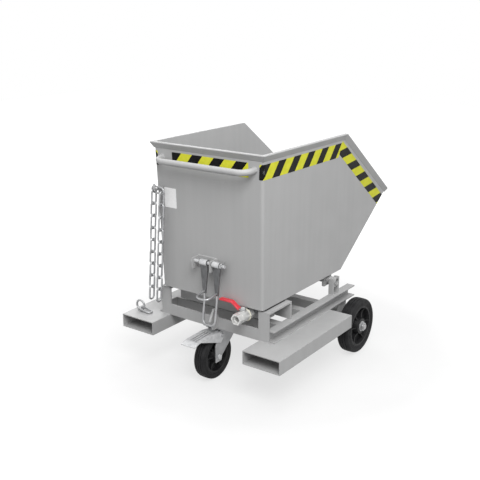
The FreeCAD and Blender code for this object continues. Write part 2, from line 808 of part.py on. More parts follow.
def make_catch():
    """The catch that swings on the pin: two tapered arms, the bail under them and the pull bow."""
    arms = []
    for middle in ("-arm_left", "arm_right"):
        start = "(%s) - arm_top_width / 2" % middle
        outline = [
            (start, "catch_height"),
            ("(%s) - arm_foot_width / 2" % middle, "arm_foot"),
            ("(%s) + arm_foot_width / 2" % middle, "arm_foot"),
            ("(%s) + arm_top_width / 2" % middle, "catch_height"),
        ]
        arm = plate("XZ", outline, "arm_sheet", "-catch_out")
        sleeve = rod("x", "sleeve_diameter", "arm_top_width", start, "-catch_out", "catch_height")
        bore = rod("x", "catch_pin + 2 * fit_running", "arm_top_width + 2 * overrun", start + " - overrun",
                   "-catch_out", "catch_height")
        arms.append(cut(join(arm, sleeve), bore))
    keep("catch_arms", group(*arms))
    neck = "arm_foot - bail_neck"
    bail_points = [
        ("-arm_left", "-catch_out", "arm_foot"),
        ("-arm_left", "-catch_out", neck),
        ("-arm_left", "-bail_out", "bail_base"),
        ("arm_right", "-bail_out", "bail_base"),
        ("arm_right", "-catch_out", neck),
        ("arm_right", "-catch_out", "arm_foot"),
    ]
    bail_bends = ["bail_neck_bend", "bail_bend", "bail_bend", "bail_neck_bend"]
    keep("catch_bail", shaped(bent_rod(bail_points, bail_bends, "bail_rod")))
    far = "arm_front - pull_reach"
    near = "arm_front - pull_neck"
    low = "pull_height - pull_droop"
    pull_points = [
        ("-arm_left", "arm_front", "pull_height"),
        ("-arm_left", near, "pull_height"),
        ("-arm_left", far, low),
        ("arm_right", far, low),
        ("arm_right", near, "pull_height"),
        ("arm_right", "arm_front", "pull_height"),
    ]
    pull_bends = ["pull_neck_bend", "pull_bend", "pull_bend", "pull_neck_bend"]
    keep("catch_pull_bow", shaped(bent_rod(pull_points, pull_bends, "pull_rod")))


def make_ramp():
    """The ramp hook on the back bar: its slope lets the bail ride down, its nose holds it."""
    outline = [
        ("support_back", "ramp_foot"),
        ("support_back", "rail_top"),
        ("-ramp_crest + ramp_crest_width", "ramp_top"),
        ("-ramp_crest", "ramp_top"),
        ("-ramp_nose", "ramp_nose_base + ramp_nose_tall"),
        ("-ramp_nose", "ramp_nose_base"),
        ("-ramp_notch", "ramp_nose_base"),
        ("-ramp_notch", "ramp_foot"),
    ]
    keep("catch_ramp", plate("YZ", outline, "ramp_sheet", "ramp_x"))


def placed_link(middle, turn):
    """A chain link, which starts long in Z and flat in XZ, turned and set down at a point."""
    radius = number("link_bend")
    straight = number("link_straight")
    vector = FreeCAD.Vector
    ends = [
        vector(radius, 0, -straight),
        vector(radius, 0, straight),
        vector(-radius, 0, straight),
        vector(-radius, 0, -straight),
    ]
    path = Part.Wire([
        Part.LineSegment(ends[0], ends[1]).toShape(),
        Part.Arc(ends[1], vector(0, 0, straight + radius), ends[2]).toShape(),
        Part.LineSegment(ends[2], ends[3]).toShape(),
        Part.Arc(ends[3], vector(0, 0, -straight - radius), ends[0]).toShape(),
    ])
    link = round_bar(path, number("link_wire"))
    link.Placement = FreeCAD.Placement(middle, turn)
    return link


def make_chain():
    """The chain: one link over the hook and a strand from each end of it, leaning a little to the left."""
    vector = FreeCAD.Vector
    flat = FreeCAD.Rotation()
    edgewise = FreeCAD.Rotation(vector(0, 0, 1), QUARTER_TURN)
    crosswise = FreeCAD.Rotation(vector(0, 1, 0), QUARTER_TURN)
    top = spot("-hook_x", "-chain_out", "chain_top")
    drop = number("first_drop")
    step = number("link_step")
    beside = number("strand_beside")
    links = [placed_link(top, crosswise)]
    for sign, clear in ((-1, "strand_left_clear"), (1, "strand_right_clear")):
        count = 1 + int((number("strand_room") - number(clear)) / step)
        for index in range(count):
            middle = top + vector(sign * beside, 0, -drop - index * step)
            links.append(placed_link(middle, flat if index % 2 else edgewise))
    chain = Part.makeCompound(links)
    chain.rotate(spot("-hook_x", "-chain_out", "hook_height"), vector(0, 1, 0), number("chain_lean_angle"))
    keep("chain", shaped(chain))


def make_chain_hook(skip):
    """The hook welded to the back wall that the chain hangs on."""
    points = [
        ("-hook_x", "0", "hook_height"),
        ("-hook_x", "-hook_reach", "hook_height"),
        ("-hook_x", "-hook_reach", "hook_height + hook_lift"),
    ]
    keep("chain_hook", cut(shaped(bent_rod(points, ["hook_bend"], "hook_rod")), skip))


def make_chain_anchor():
    """The eye welded on the left pocket, and the chain's last link lying from it onto the pocket."""
    wire = doc.addObject("Part::Torus", "eye")
    wire.Placement.Rotation = LAID["y"]
    bind(wire, Radius1="(eye_ring + eye_wire) / 2", Radius2="eye_wire / 2")
    bind(wire, x="-eye_x", y="-eye_out", z="eye_mid_z")
    collar = rod("z", "eye_collar", "eye_collar_tall", "-eye_x", "-eye_out", "pocket_top")
    keep("chain_eye", join(wire, collar))
    span = number("anchor_span")
    fall = math.asin((number("anchor_high") - number("anchor_low")) / span)
    vector = FreeCAD.Vector
    edgewise = FreeCAD.Rotation(vector(0, 0, 1), QUARTER_TURN)
    lying = FreeCAD.Rotation(vector(0, 1, 0), QUARTER_TURN + math.degrees(fall))
    high_end = spot("-eye_x", "-eye_out", "anchor_high")
    middle = high_end + vector(math.cos(fall), 0, -math.sin(fall)) * (span / 2)
    keep("anchor_link", shaped(placed_link(middle, lying.multiply(edgewise))))


def make_trough():
    """The drain trough under the floor, welded from five sheets, its screen and the pipe out of it."""
    wall_base = "trough_base + trough_sheet"
    wall_tall = "trough_tall - trough_sheet"
    bottom = block("0", "trough_y", "trough_base", "trough_width", "trough_length", "trough_sheet")
    back, front = [block("0", low, wall_base, "trough_width", "trough_sheet", wall_tall)
                   for low in ("trough_y", "trough_y + trough_length - trough_sheet")]
    ends = [block("%d * (trough_width - trough_sheet) / 2" % sign, "trough_y + trough_sheet", wall_base,
                  "trough_sheet", "trough_length - 2 * trough_sheet", wall_tall) for side, sign in SIDES]
    outlet = rod("y", "nipple_diameter + 2 * fit_fixed", "2 * overrun", "valve_x", "trough_y - overrun",
                 "valve_z")
    keep("drain_trough", group(bottom, cut(back, outlet), front, *ends))
    screen_base = "skip_base + skip_wall"
    screen = block("0", "trough_y + screen_margin", screen_base, "trough_width - 2 * screen_margin",
                   "trough_length - 2 * screen_margin", "screen_sheet")
    columns = int(number("(trough_width - 2 * slot_margin - screen_hole) / screen_step"))
    rows = int(number("(trough_length - 2 * slot_margin - screen_hole) / screen_row_step")) + 1
    holes = []
    for row in range(rows):
        for column in range(columns):
            x = "screen_step * (%d - (%d - 1) / 2)" % (column, columns)
            y = "trough_y + trough_length / 2 + screen_row_step * (%d - (%d - 1) / 2)" % (row, rows)
            holes.append(rod("z", "screen_hole", "screen_sheet", x, y, screen_base))
    keep("drain_screen", cut(screen, group(*holes)))
    start = "valve_front - nipple_engaged"
    length = "trough_y + 2 * trough_sheet - (%s)" % start
    keep("drain_nipple", ring("y", "nipple_diameter", "nipple_bore", length, "valve_x", start, "valve_z"))


def make_valve():
    """The ball valve's body, and its ball and stem, shut."""
    start = "-valve_out"
    ends = [hexagon("y", "valve_end_flats", "valve_end_length", "valve_x", low, "valve_z")
            for low in (start, "valve_front - valve_end_length")]
    housing = rod("y", "valve_housing", "valve_length - 2 * valve_end_length", "valve_x",
                  "valve_end_length - valve_out", "valve_z")
    boss = rod("z", "stem_boss", "stem_boss_top - valve_z", "valve_x", "valve_mid", "valve_z")
    bore = rod("y", "valve_bore", "valve_length + 2 * overrun", "valve_x", start + " - overrun", "valve_z")
    sockets = [rod("y", "nipple_diameter + 2 * fit_fixed", "nipple_engaged + overrun", "valve_x", low,
                   "valve_z")
               for low in (start + " - overrun", "valve_front - nipple_engaged")]
    stem_hole = rod("z", "stem_diameter + 2 * fit_running", "stem_boss_top - valve_z + overrun",
                    "valve_x", "valve_mid", "valve_z")
    cavity = doc.addObject("Part::Sphere", "cavity")
    bind(cavity, Radius="valve_ball / 2 + fit_running", x="valve_x", y="valve_mid", z="valve_z")
    keep("valve_body", cut(join(housing, boss, *ends), bore, stem_hole, cavity, *sockets))
    ball = doc.addObject("Part::Sphere", "ball")
    bind(ball, Radius="valve_ball / 2", x="valve_x", y="valve_mid", z="valve_z")
    stem = rod("z", "stem_diameter", "stem_top - valve_z", "valve_x", "valve_mid", "valve_z")
    port = cross_rod("valve_bore", "valve_ball", "valve_x", "valve_mid", "valve_z")
    keep("valve_ball", cut(join(ball, stem), port))


def cranked_outline(start, end, cover):
    """The valve lever's side view between two places across, made thicker by a cover."""
    top = "lever_top + " + cover
    under = "stem_boss_top - " + cover
    return [
        (start, under),
        (start, top),
        ("valve_x - lever_step_start", top),
        ("valve_x - lever_step_end", top + " + lever_step"),
        (end, top + " + lever_step"),
        (end, under + " + lever_step"),
        ("valve_x - lever_step_end", under + " + lever_step"),
        ("valve_x - lever_step_start", under),
    ]


def make_lever():
    """The valve's cranked lever with its grip and nut, shut: it points to the left, across the pipe."""
    end = "valve_x - lever_reach"
    bar = plate("XZ", cranked_outline("valve_x", end, "0"), "lever_width", "valve_mid")
    eye = rod("z", "lever_eye", "lever_sheet", "valve_x", "valve_mid", "stem_boss_top")
    bore = "stem_diameter + 2 * fit_fixed"
    hole = rod("z", bore, "lever_sheet", "valve_x", "valve_mid", "stem_boss_top")
    keep("valve_lever", cut(join(bar, eye), hole))
    grip = plate("XZ", cranked_outline("valve_x - grip_start", end + " - grip_cap", "grip_cover"),
                 "lever_width + 2 * grip_side", "valve_mid")
    soft_grip = rounded(grip, lambda edge: "grip_cover" if runs_along(edge, "x") else None)
    slot = plate("XZ", cranked_outline("valve_x", end + " - fit_fixed", "fit_fixed"),
                 "lever_width + 2 * fit_fixed", "valve_mid")
    keep("valve_grip", cut(soft_grip, slot))
    keep("valve_nut", nut("z", "lever_nut_flats", bore, "lever_nut_tall", "valve_x", "valve_mid",
                          "lever_top"))


def make_pivot():
    """The tube that the skip tips on, the lugs that carry the skip and the forked seats on the rails."""
    keep("pivot_tube", cross_ring("pivot_tube", "pivot_tube - 2 * pivot_wall", "2 * pivot_half", "0",
                                  "pivot_y", "pivot_z"))
    lugs = []
    forks = []
    for side, sign in SIDES:
        lug_middle = "%d * lug_x" % sign
        lug = block(lug_middle, "pivot_y - lug_length / 2", "pivot_z - lug_below", "lug_sheet", "lug_length",
                    "pivot_drop + lug_below")
        bore = cross_rod("2 * lug_seat", "lug_sheet + 2 * overrun", lug_middle, "pivot_y", "pivot_z")
        lugs.append(cut(lug, bore))
        fork_middle = "%d * fork_x" % sign
        fork = block(fork_middle, "pivot_y - fork_seat - fork_cheek", "rail_top", "fork_width",
                     "2 * (fork_seat + fork_cheek)", "fork_tall")
        slot = block(fork_middle, "pivot_y - fork_seat", "pivot_z", "fork_width + 2 * overrun",
                     "2 * fork_seat", "fork_rise + overrun")
        seat = cross_rod("2 * fork_seat", "fork_width + 2 * overrun", fork_middle, "pivot_y", "pivot_z")
        window = block(fork_middle, "pivot_y - fork_seat", "rail_top - overrun", "fork_width + 2 * overrun",
                       "2 * fork_seat", "pivot_z - fork_seat - fork_saddle - rail_top + overrun")
        forks.append(cut(fork, slot, seat, window))
    keep("pivot_lugs", group(*lugs))
    keep("pivot_forks", group(*forks))


def channel_outline(sign, web, base):
    """The section of a channel: web at one side, two flanges reaching away from it."""
    near = "%d * (%s)" % (sign, web)
    inside = "%d * (%s + rail_sheet)" % (sign, web)
    far = "%d * (%s + rail_depth)" % (sign, web)
    return [
        (near, base),
        (far, base),
        (far, base + " + rail_sheet"),
        (inside, base + " + rail_sheet"),
        (inside, base + " + rail_height - rail_sheet"),
        (far, base + " + rail_height - rail_sheet"),
        (far, base + " + rail_height"),
        (near, base + " + rail_height"),
    ]


def make_frame():
    """Fork pockets, side rails, and the bent supports with their rubber pads."""
    length = "pocket_back + pocket_front"
    support_outline = [
        ("support_back", "pocket_top"),
        ("support_back", "support_top"),
        ("support_front", "support_top"),
        ("support_front", "rail_top"),
        ("support_front - support_sheet", "rail_top"),
        ("support_front - support_sheet", "support_top - support_sheet"),
        ("support_back + support_sheet", "support_top - support_sheet"),
        ("support_back + support_sheet", "pocket_top"),
    ]
    pads = []
    supports = []
    for side, sign in SIDES:
        middle = "%d * pocket_x" % sign
        tube = block(middle, "-pocket_back", "pocket_base", "pocket_width", length, "pocket_height")
        inside = block(middle, "-pocket_back - overrun", "pocket_base + pocket_wall",
                       "pocket_width - 2 * pocket_wall", length + " + 2 * overrun",
                       "pocket_height - 2 * pocket_wall")
        keep("fork_pocket_" + side, cut(tube, inside))
        section = channel_outline(sign, "rail_x", "pocket_top")
        rail = plate("XZ", section, "rail_front - rail_back", "(rail_front + rail_back) / 2")
        keep("side_rail_" + side, rail)
        supports.append(plate("YZ", support_outline, "support_width", "%d * support_x" % sign))
        pad_middle = "%d * (skip_inner - pad_width / 2)" % sign
        pads.append(block(pad_middle, "support_back + pad_margin", "support_top", "pad_width",
                          "support_length - 2 * pad_margin", "pad_thick"))
    keep("skip_supports", group(*supports))
    keep("rest_pads", group(*pads))


def castor_bolt_hole(x, y):
    """A bolt hole through the castor's plate and the flange over it."""
    return rod("z", "castor_bolt + 2 * fit_fixed", "castor_plate_thick + rail_sheet + overrun", x, y,
               "castor_plate_base - overrun / 2")


def angle_outline(web, base):
    """The section of an angle: an upright web, and one flange forward along its foot."""
    near = web
    inside = web + " + rail_sheet"
    far = web + " + rail_depth"
    return [
        (near, base),
        (far, base),
        (far, base + " + rail_sheet"),
        (inside, base + " + rail_sheet"),
        (inside, base + " + rail_height"),
        (near, base + " + rail_height"),
    ]


def make_cross_bars(bolt_columns, bolt_rows):
    """The angle at the back and the two channels across the frame; the first two carry the castor."""
    bars = (
        ("back_bar", angle_outline("support_back", "pocket_top"), "support_inner", bolt_rows[:1]),
        ("castor_bar", channel_outline(1, "castor_bar_y", "pocket_top"), "rail_x", bolt_rows[1:]),
        ("middle_bar", channel_outline(1, "middle_bar_y", "pocket_top"), "rail_x", []),
    )
    for name, section, half, rows in bars:
        bar = plate("YZ", section, "2 * (%s)" % half, "0")
        holes = [castor_bolt_hole(x, y) for y in rows for x in bolt_columns]
        keep(name, cut(bar, *holes) if holes else bar)


def wheel_tyre(x, y, z, diameter, tread, deep):
    """A solid tyre: square sides, rounded shoulders and a slightly crowned tread."""
    outer = "(%s) / 2" % diameter
    half = "(%s) / 2" % tread
    inner = "%s - (%s)" % (outer, deep)
    section = [
        ("-" + half, inner),
        ("-" + half, outer + " - tyre_shoulder"),
        ("-%s + tyre_shoulder / 3" % half, outer + " - tyre_shoulder / 3"),
        ("-%s + tyre_shoulder" % half, outer + " - tyre_crown / 2"),
        ("-tyre_land", outer),
        ("tyre_land", outer),
        ("%s - tyre_shoulder" % half, outer + " - tyre_crown / 2"),
        ("%s - tyre_shoulder / 3" % half, outer + " - tyre_shoulder / 3"),
        (half, outer + " - tyre_shoulder"),
        (half, inner),
    ]
    return turned(section, x, y, z)


def wheel_rim(x, y, z, outer, tread, hub, hub_length, bore):
    """A dished wheel centre: band, web and hub in one moulding."""
    band = "(%s) / 2 - rim_band_inset" % tread
    hub_half = "(%s) / 2" % hub_length
    hub_radius = "(%s) / 2" % hub
    bore_radius = "(%s) / 2" % bore
    inner = "%s - rim_band" % outer
    section = [
        ("-(%s)" % hub_half, bore_radius),
        (hub_half, bore_radius),
        (hub_half, hub_radius),
        ("rim_web / 2", hub_radius + " + rim_dish"),
        ("rim_web / 2", inner + " - rim_dish"),
        (band, inner),
        (band, outer),
        ("-(%s)" % band, outer),
        ("-(%s)" % band, inner),
        ("-rim_web / 2", inner + " - rim_dish"),
        ("-rim_web / 2", hub_radius + " + rim_dish"),
        ("-(%s)" % hub_half, hub_radius),
    ]
    return turned(section, x, y, z)


def make_castor_mount(bolt_columns, bolt_rows):
    """The castor's top plate with its race, the kingpin, and the bolts with their nuts."""
    wide = "castor_bolt_wide + 2 * castor_plate_side"
    long = "castor_bolt_long + 2 * castor_plate_edge"
    top_plate = block("0", "castor_y - (%s) / 2" % long, "castor_plate_base", wide, long,
                      "castor_plate_thick")
    race = rod("z", "castor_race", "castor_race_tall", "0", "castor_y", "fork_head_top")
    pin_hole = rod("z", "kingpin + 2 * fit_fixed", "castor_race_tall + 2 * overrun", "0", "castor_y",
                   "fork_head_top - overrun")
    places = [(x, y) for x in bolt_columns for y in bolt_rows]
    holes = [castor_bolt_hole(x, y) for x, y in places]
    keep("castor_plate", cut(join(top_plate, race), pin_hole, *holes))
    head_top = "fork_head_base - side_play"
    shank = rod("z", "kingpin", "pocket_top - fork_head_base + side_play", "0", "castor_y", head_top)
    head = rod("z", "kingpin_head", "kingpin_head_tall", "0", "castor_y", head_top + " - kingpin_head_tall")
    keep("castor_kingpin", join(shank, head))
    bolts = []
    bolt_length = "castor_plate_thick + rail_sheet + castor_bolt_tall"
    for x, y in places:
        bolt_head = hexagon("z", "castor_bolt_flats", "castor_bolt_tall", x, y,
                            "castor_plate_base - castor_bolt_tall")
        bolts.append(join(bolt_head, rod("z", "castor_bolt", bolt_length, x, y, "castor_plate_base")))
        bolts.append(nut("z", "castor_bolt_flats", "castor_bolt + 2 * fit_fixed", "castor_bolt_tall", x, y,
                         "pocket_top + rail_sheet"))
    keep("castor_bolts", group(*bolts))


def make_castor_fork():
    """The castor's pressed fork: a round head and two legs that trail back to the axle."""
    head = rod("z", "castor_fork_head", "castor_fork_top", "0", "castor_y", "fork_head_base")
    bridge = block("0", "castor_y - castor_leg_back", "fork_head_base", "2 * castor_leg_outer",
                   "castor_leg_back + castor_leg_front", "castor_fork_top")
    leg_outline = [
        ("castor_y - castor_leg_back", "fork_head_base"),
        ("castor_y + castor_leg_front", "fork_head_base"),
        ("castor_y + castor_leg_front", "fork_head_base - castor_leg_shoulder"),
        ("castor_axle_y + castor_leg_foot", "castor_axle_z"),
        ("castor_axle_y + foot_corner", "castor_axle_z - castor_leg_foot"),
        ("castor_axle_y - castor_leg_foot", "castor_axle_z - castor_leg_foot"),
        ("castor_axle_y - castor_leg_foot", "fork_head_base - 2 * castor_leg_shoulder"),
    ]
    legs = [plate("YZ", leg_outline, "castor_leg", "%d * castor_leg_x" % sign) for side, sign in SIDES]
    across = "2 * castor_leg_outer + 2 * overrun"
    pin_hole = rod("z", "kingpin + 2 * fit_running", "castor_fork_top + 2 * overrun", "0", "castor_y",
                   "fork_head_base - overrun")
    axle_hole = cross_rod("castor_axle + 2 * fit_fixed", across, "0", "castor_axle_y", "castor_axle_z")
    rivet_hole = cross_rod("pedal_pin + 2 * fit_fixed", across, "0", "pedal_pin_y", "pedal_pin_z")
    keep("castor_fork", cut(join(head, bridge, *legs), pin_hole, axle_hole, rivet_hole))


def make_castor_wheel():
    """The castor's wheel with its bush, and the axle bolt with its nut."""
    at = ("castor_axle_y", "castor_axle_z")
    keep("castor_tyre", wheel_tyre("0", *at, "castor_wheel", "castor_tread", "castor_tyre_deep"))
    band = "castor_wheel / 2 - castor_tyre_deep - fit_fixed"
    keep("castor_rim", wheel_rim("0", *at, band, "castor_tread", "castor_hub", "castor_hub_length",
                                 "castor_bush + 2 * fit_fixed"))
    running_bore = "castor_axle + 2 * fit_running"
    keep("castor_bush", cross_ring("castor_bush", running_bore, "castor_hub_length", "0", *at))
    head = hexagon("x", "castor_head_flats", "castor_head_tall", "castor_leg_outer", *at)
    nut_start = "-castor_leg_outer - castor_head_tall"
    shank = rod("x", "castor_axle", "2 * castor_leg_outer + castor_head_tall + castor_axle_end",
                nut_start + " - castor_axle_end", *at)
    axle_nut = nut("x", "castor_head_flats", "castor_axle + 2 * fit_fixed", "castor_head_tall", nut_start,
                   *at)
    keep("castor_axle_bolt", group(join(head, shank), axle_nut))


def make_pedal():
    """The brake pedal: a bent tread with two cheeks, riveted to the fork's legs."""
    top = [
        ("castor_axle_y + pedal_root_ahead", "fork_head_base + pedal_root_rise"),
        ("castor_axle_y - pedal_crest_back", "fork_head_base + pedal_crest_rise"),
        ("castor_axle_y - pedal_bend_back", "fork_head_base + pedal_bend_rise"),
        ("pedal_tip_y", "fork_head_base - pedal_tip_drop"),
    ]
    under = [(along, up + " - pedal_sheet") for along, up in reversed(top)]
    tread = plate("YZ", top + under, "2 * pedal_outer", "0")
    cheek_outline = [
        ("pedal_pin_y + pedal_cheek_nose", "pedal_pin_z - pedal_cheek_nose"),
        ("pedal_pin_y + pedal_cheek_nose", "pedal_pin_z + pedal_cheek_nose"),
        (top[0][0], top[0][1] + " - pedal_sheet / 2"),
        (top[1][0], top[1][1] + " - pedal_sheet / 2"),
        ("castor_axle_y - pedal_cheek_back", top[2][1] + " - pedal_sheet / 2"),
        ("pedal_pin_y - pedal_cheek_nose", "pedal_pin_z - pedal_cheek_drop"),
    ]
    cheeks = [plate("YZ", cheek_outline, "pedal_sheet", "%d * (pedal_inner + pedal_sheet / 2)" % sign)
              for side, sign in SIDES]
    at = ("pedal_pin_y", "pedal_pin_z")
    pin_hole = cross_rod("pedal_pin + 2 * fit_running", "2 * pedal_outer + 2 * overrun", "0", *at)
    keep("brake_pedal", cut(join(tread, *cheeks), pin_hole))
    rivets = []
    length = "castor_leg + pedal_sheet + 2 * side_play"
    for side, sign in SIDES:
        shank = cross_rod("pedal_pin", length, "%d * (castor_leg_inner + (%s) / 2)" % (sign, length), *at)
        head_middle = "%d * (pedal_outer + side_play + pedal_sheet / 2)" % sign
        rivets.append(join(shank, cross_rod("pedal_pin_head", "pedal_sheet", head_middle, *at)))
    keep("pedal_rivets", group(*rivets))


def make_axle():
    """The fixed axle, the beam and plates that carry it, its spacers and its flanged nuts."""
    at = ("axle_y", "axle_z")
    keep("axle", cross_rod("axle_diameter", "2 * axle_half", "0", *at))
    beam_base = "axle_z + axle_beam_rise"
    hollow_side = "axle_beam - 2 * axle_beam_wall"
    tube = block("0", "axle_y - axle_beam / 2", beam_base, "2 * (axle_plate_x - axle_plate_sheet / 2)",
                 "axle_beam", "axle_beam")
    hollow = block("0", "axle_y - (%s) / 2" % hollow_side, beam_base + " + axle_beam_wall", "2 * axle_half",
                   hollow_side, hollow_side)
    keep("axle_beam", cut(tube, hollow))
    bore = "axle_diameter + 2 * fit_fixed"
    gap = "wheel_gap - side_play"
    hangers = []
    spacers = []
    nuts = []
    for side, sign in SIDES:
        middle = "%d * axle_plate_x" % sign
        hanger = block(middle, "axle_y - axle_plate_length / 2", "axle_z - axle_plate_below",
                       "axle_plate_sheet", "axle_plate_length", "pocket_top - axle_z + axle_plate_below")
        hangers.append(cut(hanger, cross_rod(bore, "axle_plate_sheet + 2 * overrun", middle, *at)))
        spacer_middle = "%d * (axle_plate_outer + (%s) / 2)" % (sign, gap)
        spacers.append(cross_ring("axle_spacer", bore, gap, spacer_middle, *at))
        flange_middle = "%d * (axle_nut_x + axle_flange_thick / 2)" % sign
        nut_middle = "%d * (axle_nut_x + axle_nut_tall / 2)" % sign
        body = hexagon("x", "axle_nut_flats", "axle_nut_tall", nut_middle + " - axle_nut_tall / 2", *at)
        flange = cross_rod("axle_flange", "axle_flange_thick", flange_middle, *at)
        nuts.append(cut(join(body, flange), cross_rod(bore, "axle_nut_tall + 2 * overrun", nut_middle, *at)))
    keep("axle_plates", group(*hangers))
    keep("axle_spacers", group(*spacers))
    keep("axle_nuts", group(*nuts))


def make_wheels():
    """A wheel on each end of the axle: tyre, centre and two bearings."""
    at = ("axle_y", "axle_z")
    band = "wheel_diameter / 2 - wheel_tyre_deep - fit_fixed"
    for side, sign in SIDES:
        middle = "%d * wheel_x" % sign
        tyre = wheel_tyre(middle, *at, "wheel_diameter", "wheel_tread", "wheel_tyre_deep")
        keep("wheel_tyre_" + side, tyre)
        keep("wheel_rim_" + side, wheel_rim(middle, *at, band, "wheel_tread", "wheel_hub", "wheel_hub_length",
                                            "wheel_bearing + 2 * fit_fixed"))
        races = [cross_ring("wheel_bearing", "axle_diameter + 2 * fit_running", "wheel_bearing_wide",
                            "%s + %d * (wheel_hub_length - wheel_bearing_wide) / 2" % (middle, end), *at)
                 for end in (-1, 1)]
        keep("wheel_bearings_" + side, group(*races))


def write_pieces():
    """Check every object and every sub-part, then write one file for each sub-part."""
    doc.recompute()
    for item in doc.Objects:
        if "Invalid" in item.State or "Error" in item.State:
            raise RuntimeError("failed: %s %s %s" % (item.Name, item.Label, item.State))
    for name, item in pieces.items():
        if item.Shape.isNull() or not item.Shape.isValid() or not item.Shape.Solids:
            raise RuntimeError("bad shape: " + name)
    os.makedirs("parts", exist_ok=True)
    for name, item in pieces.items():
        item.Shape.exportStep("parts/%s.step" % name)
    print("%d sub-parts written" % len(pieces))


def main():
    """Build every sub-part and write it."""
    fill_sheet()
    bolt_columns = ("-castor_bolt_wide / 2", "castor_bolt_wide / 2")
    bolt_rows = ("castor_bolt_line", "castor_bolt_line + castor_bolt_long")
    skip = make_skip_walls()
    make_rim()
    make_handle(skip)
    make_catch_mount(skip)
    make_catch()
    make_ramp()
    make_chain_hook(skip)
    make_chain()
    make_chain_anchor()
    make_trough()
    make_valve()
    make_lever()
    make_pivot()
    make_frame()
    make_cross_bars(bolt_columns, bolt_rows)
    make_castor_mount(bolt_columns, bolt_rows)
    make_castor_fork()
    make_castor_wheel()
    make_pedal()
    make_axle()
    make_wheels()
    write_pieces()


main()
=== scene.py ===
"""Looks of a tipping skip trolley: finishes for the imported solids, and the small forms that dress them.

Metres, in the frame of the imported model: +X is the trolley's right seen from behind, +Y is forward, +Z is up.
"""

import bmesh
import bpy
import json
import math
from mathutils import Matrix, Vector


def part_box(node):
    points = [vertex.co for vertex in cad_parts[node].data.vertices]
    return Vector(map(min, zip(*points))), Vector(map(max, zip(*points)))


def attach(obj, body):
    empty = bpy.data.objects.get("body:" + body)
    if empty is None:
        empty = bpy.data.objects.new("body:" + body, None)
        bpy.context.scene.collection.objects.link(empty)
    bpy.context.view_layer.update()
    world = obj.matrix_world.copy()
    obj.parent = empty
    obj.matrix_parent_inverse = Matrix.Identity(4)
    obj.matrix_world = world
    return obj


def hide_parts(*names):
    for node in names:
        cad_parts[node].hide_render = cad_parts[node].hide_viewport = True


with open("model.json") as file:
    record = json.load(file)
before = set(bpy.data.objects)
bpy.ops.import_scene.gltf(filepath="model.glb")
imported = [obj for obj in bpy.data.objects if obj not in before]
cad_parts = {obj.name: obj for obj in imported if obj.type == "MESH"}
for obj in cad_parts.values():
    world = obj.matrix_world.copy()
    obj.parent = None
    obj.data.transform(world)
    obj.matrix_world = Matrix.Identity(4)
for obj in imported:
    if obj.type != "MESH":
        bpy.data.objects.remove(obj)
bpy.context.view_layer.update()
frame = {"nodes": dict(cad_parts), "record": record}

SIDES = (("left", -1), ("right", 1))
FULL_TURN = 2 * math.pi
QUARTER_TURN = math.pi / 2
ACROSS = Vector((1, 0, 0))
FORWARD = Vector((0, 1, 0))
UP = Vector((0, 0, 1))

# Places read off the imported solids
back_low, back_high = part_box("skip_back_wall")
floor_low, floor_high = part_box("skip_floor")
_, chute_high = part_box("skip_chute")
SKIP_WALL = floor_high.z - floor_low.z
SKIP_BASE = back_low.z
SKIP_TOP = back_high.z
BASE_HALF = floor_high.x + SKIP_WALL
TOP_HALF = back_high.x
BASE_BACK = floor_low.y - SKIP_WALL
TOP_BACK = back_low.y
FLOOR_TOP = floor_high.z
FLOOR_FRONT = floor_high.y
LIP_Y = chute_high.y

# Sizes that the boxes don't give
RIM_BEND = 0.609
LIP_RISE = 0.306
CORNER_BEND = 0.012
HANDLE_RADIUS = 0.0125
FORK_CHEEK = 0.011

# Hazard tape, placed from the base of the back wall and from the skip's top
TAPE_THICK = 0.0004
TAPE_CORNER = 0.0015
TAPE_STEP = 0.004
BACK_TAPE = (-0.1765, 0.203)
BACK_TAPE_DEPTHS = (0.094, 0.036)
SIDE_TAPE_START = -0.028
SIDE_TAPE_DEPTHS = (0.097, 0.0375)
MITRE_FOOT = (0.5598, -0.0821)
MITRE_HEAD = (0.5804, -0.0376)
SLOPE_TAPE_DEPTHS = (-0.0392, -0.0467)
SLOPE_TAPE_WIDE = 0.058
CHUTE_EDGE = 0.0015
BACK_STRIPE = 0.1085
SIDE_STRIPE = 0.1082
SLOPE_STRIPE = 0.1125
BACK_LEAN_SHARE = 0.80
SIDE_LEAN_SHARE = 0.79
SLOPE_LEAN_SHARE = 1.06
BACK_STRIPE_START = -0.009
SIDE_STRIPE_START = 0.0435
SLOPE_STRIPE_START = 0.0525
BLACK_SHARE = 0.48

# Blank sticker on the back wall
LABEL_ACROSS = (-0.2272, -0.1645)
LABEL_HEIGHTS = (0.356, 0.440)
LABEL_THICK = 0.0003
LABEL_CORNER = 0.003

# Edges sharper than this stay sharp
PLAIN_CREASE = math.radians(35)

# Steps of a rounded corner, and of the curves that are drawn as rings
CORNER_STEPS = 4
RING_STEPS = 28

# Weld beads
BEAD_STEP = 0.0024
BEAD_SIDES = 7
BEAD_DIP_SHARE = 0.76
BEAD = 0.0028
FINE_BEAD = 0.0020
STITCH = 0.045
STITCH_PITCH = 0.110
STEEP_SHARE = 0.9

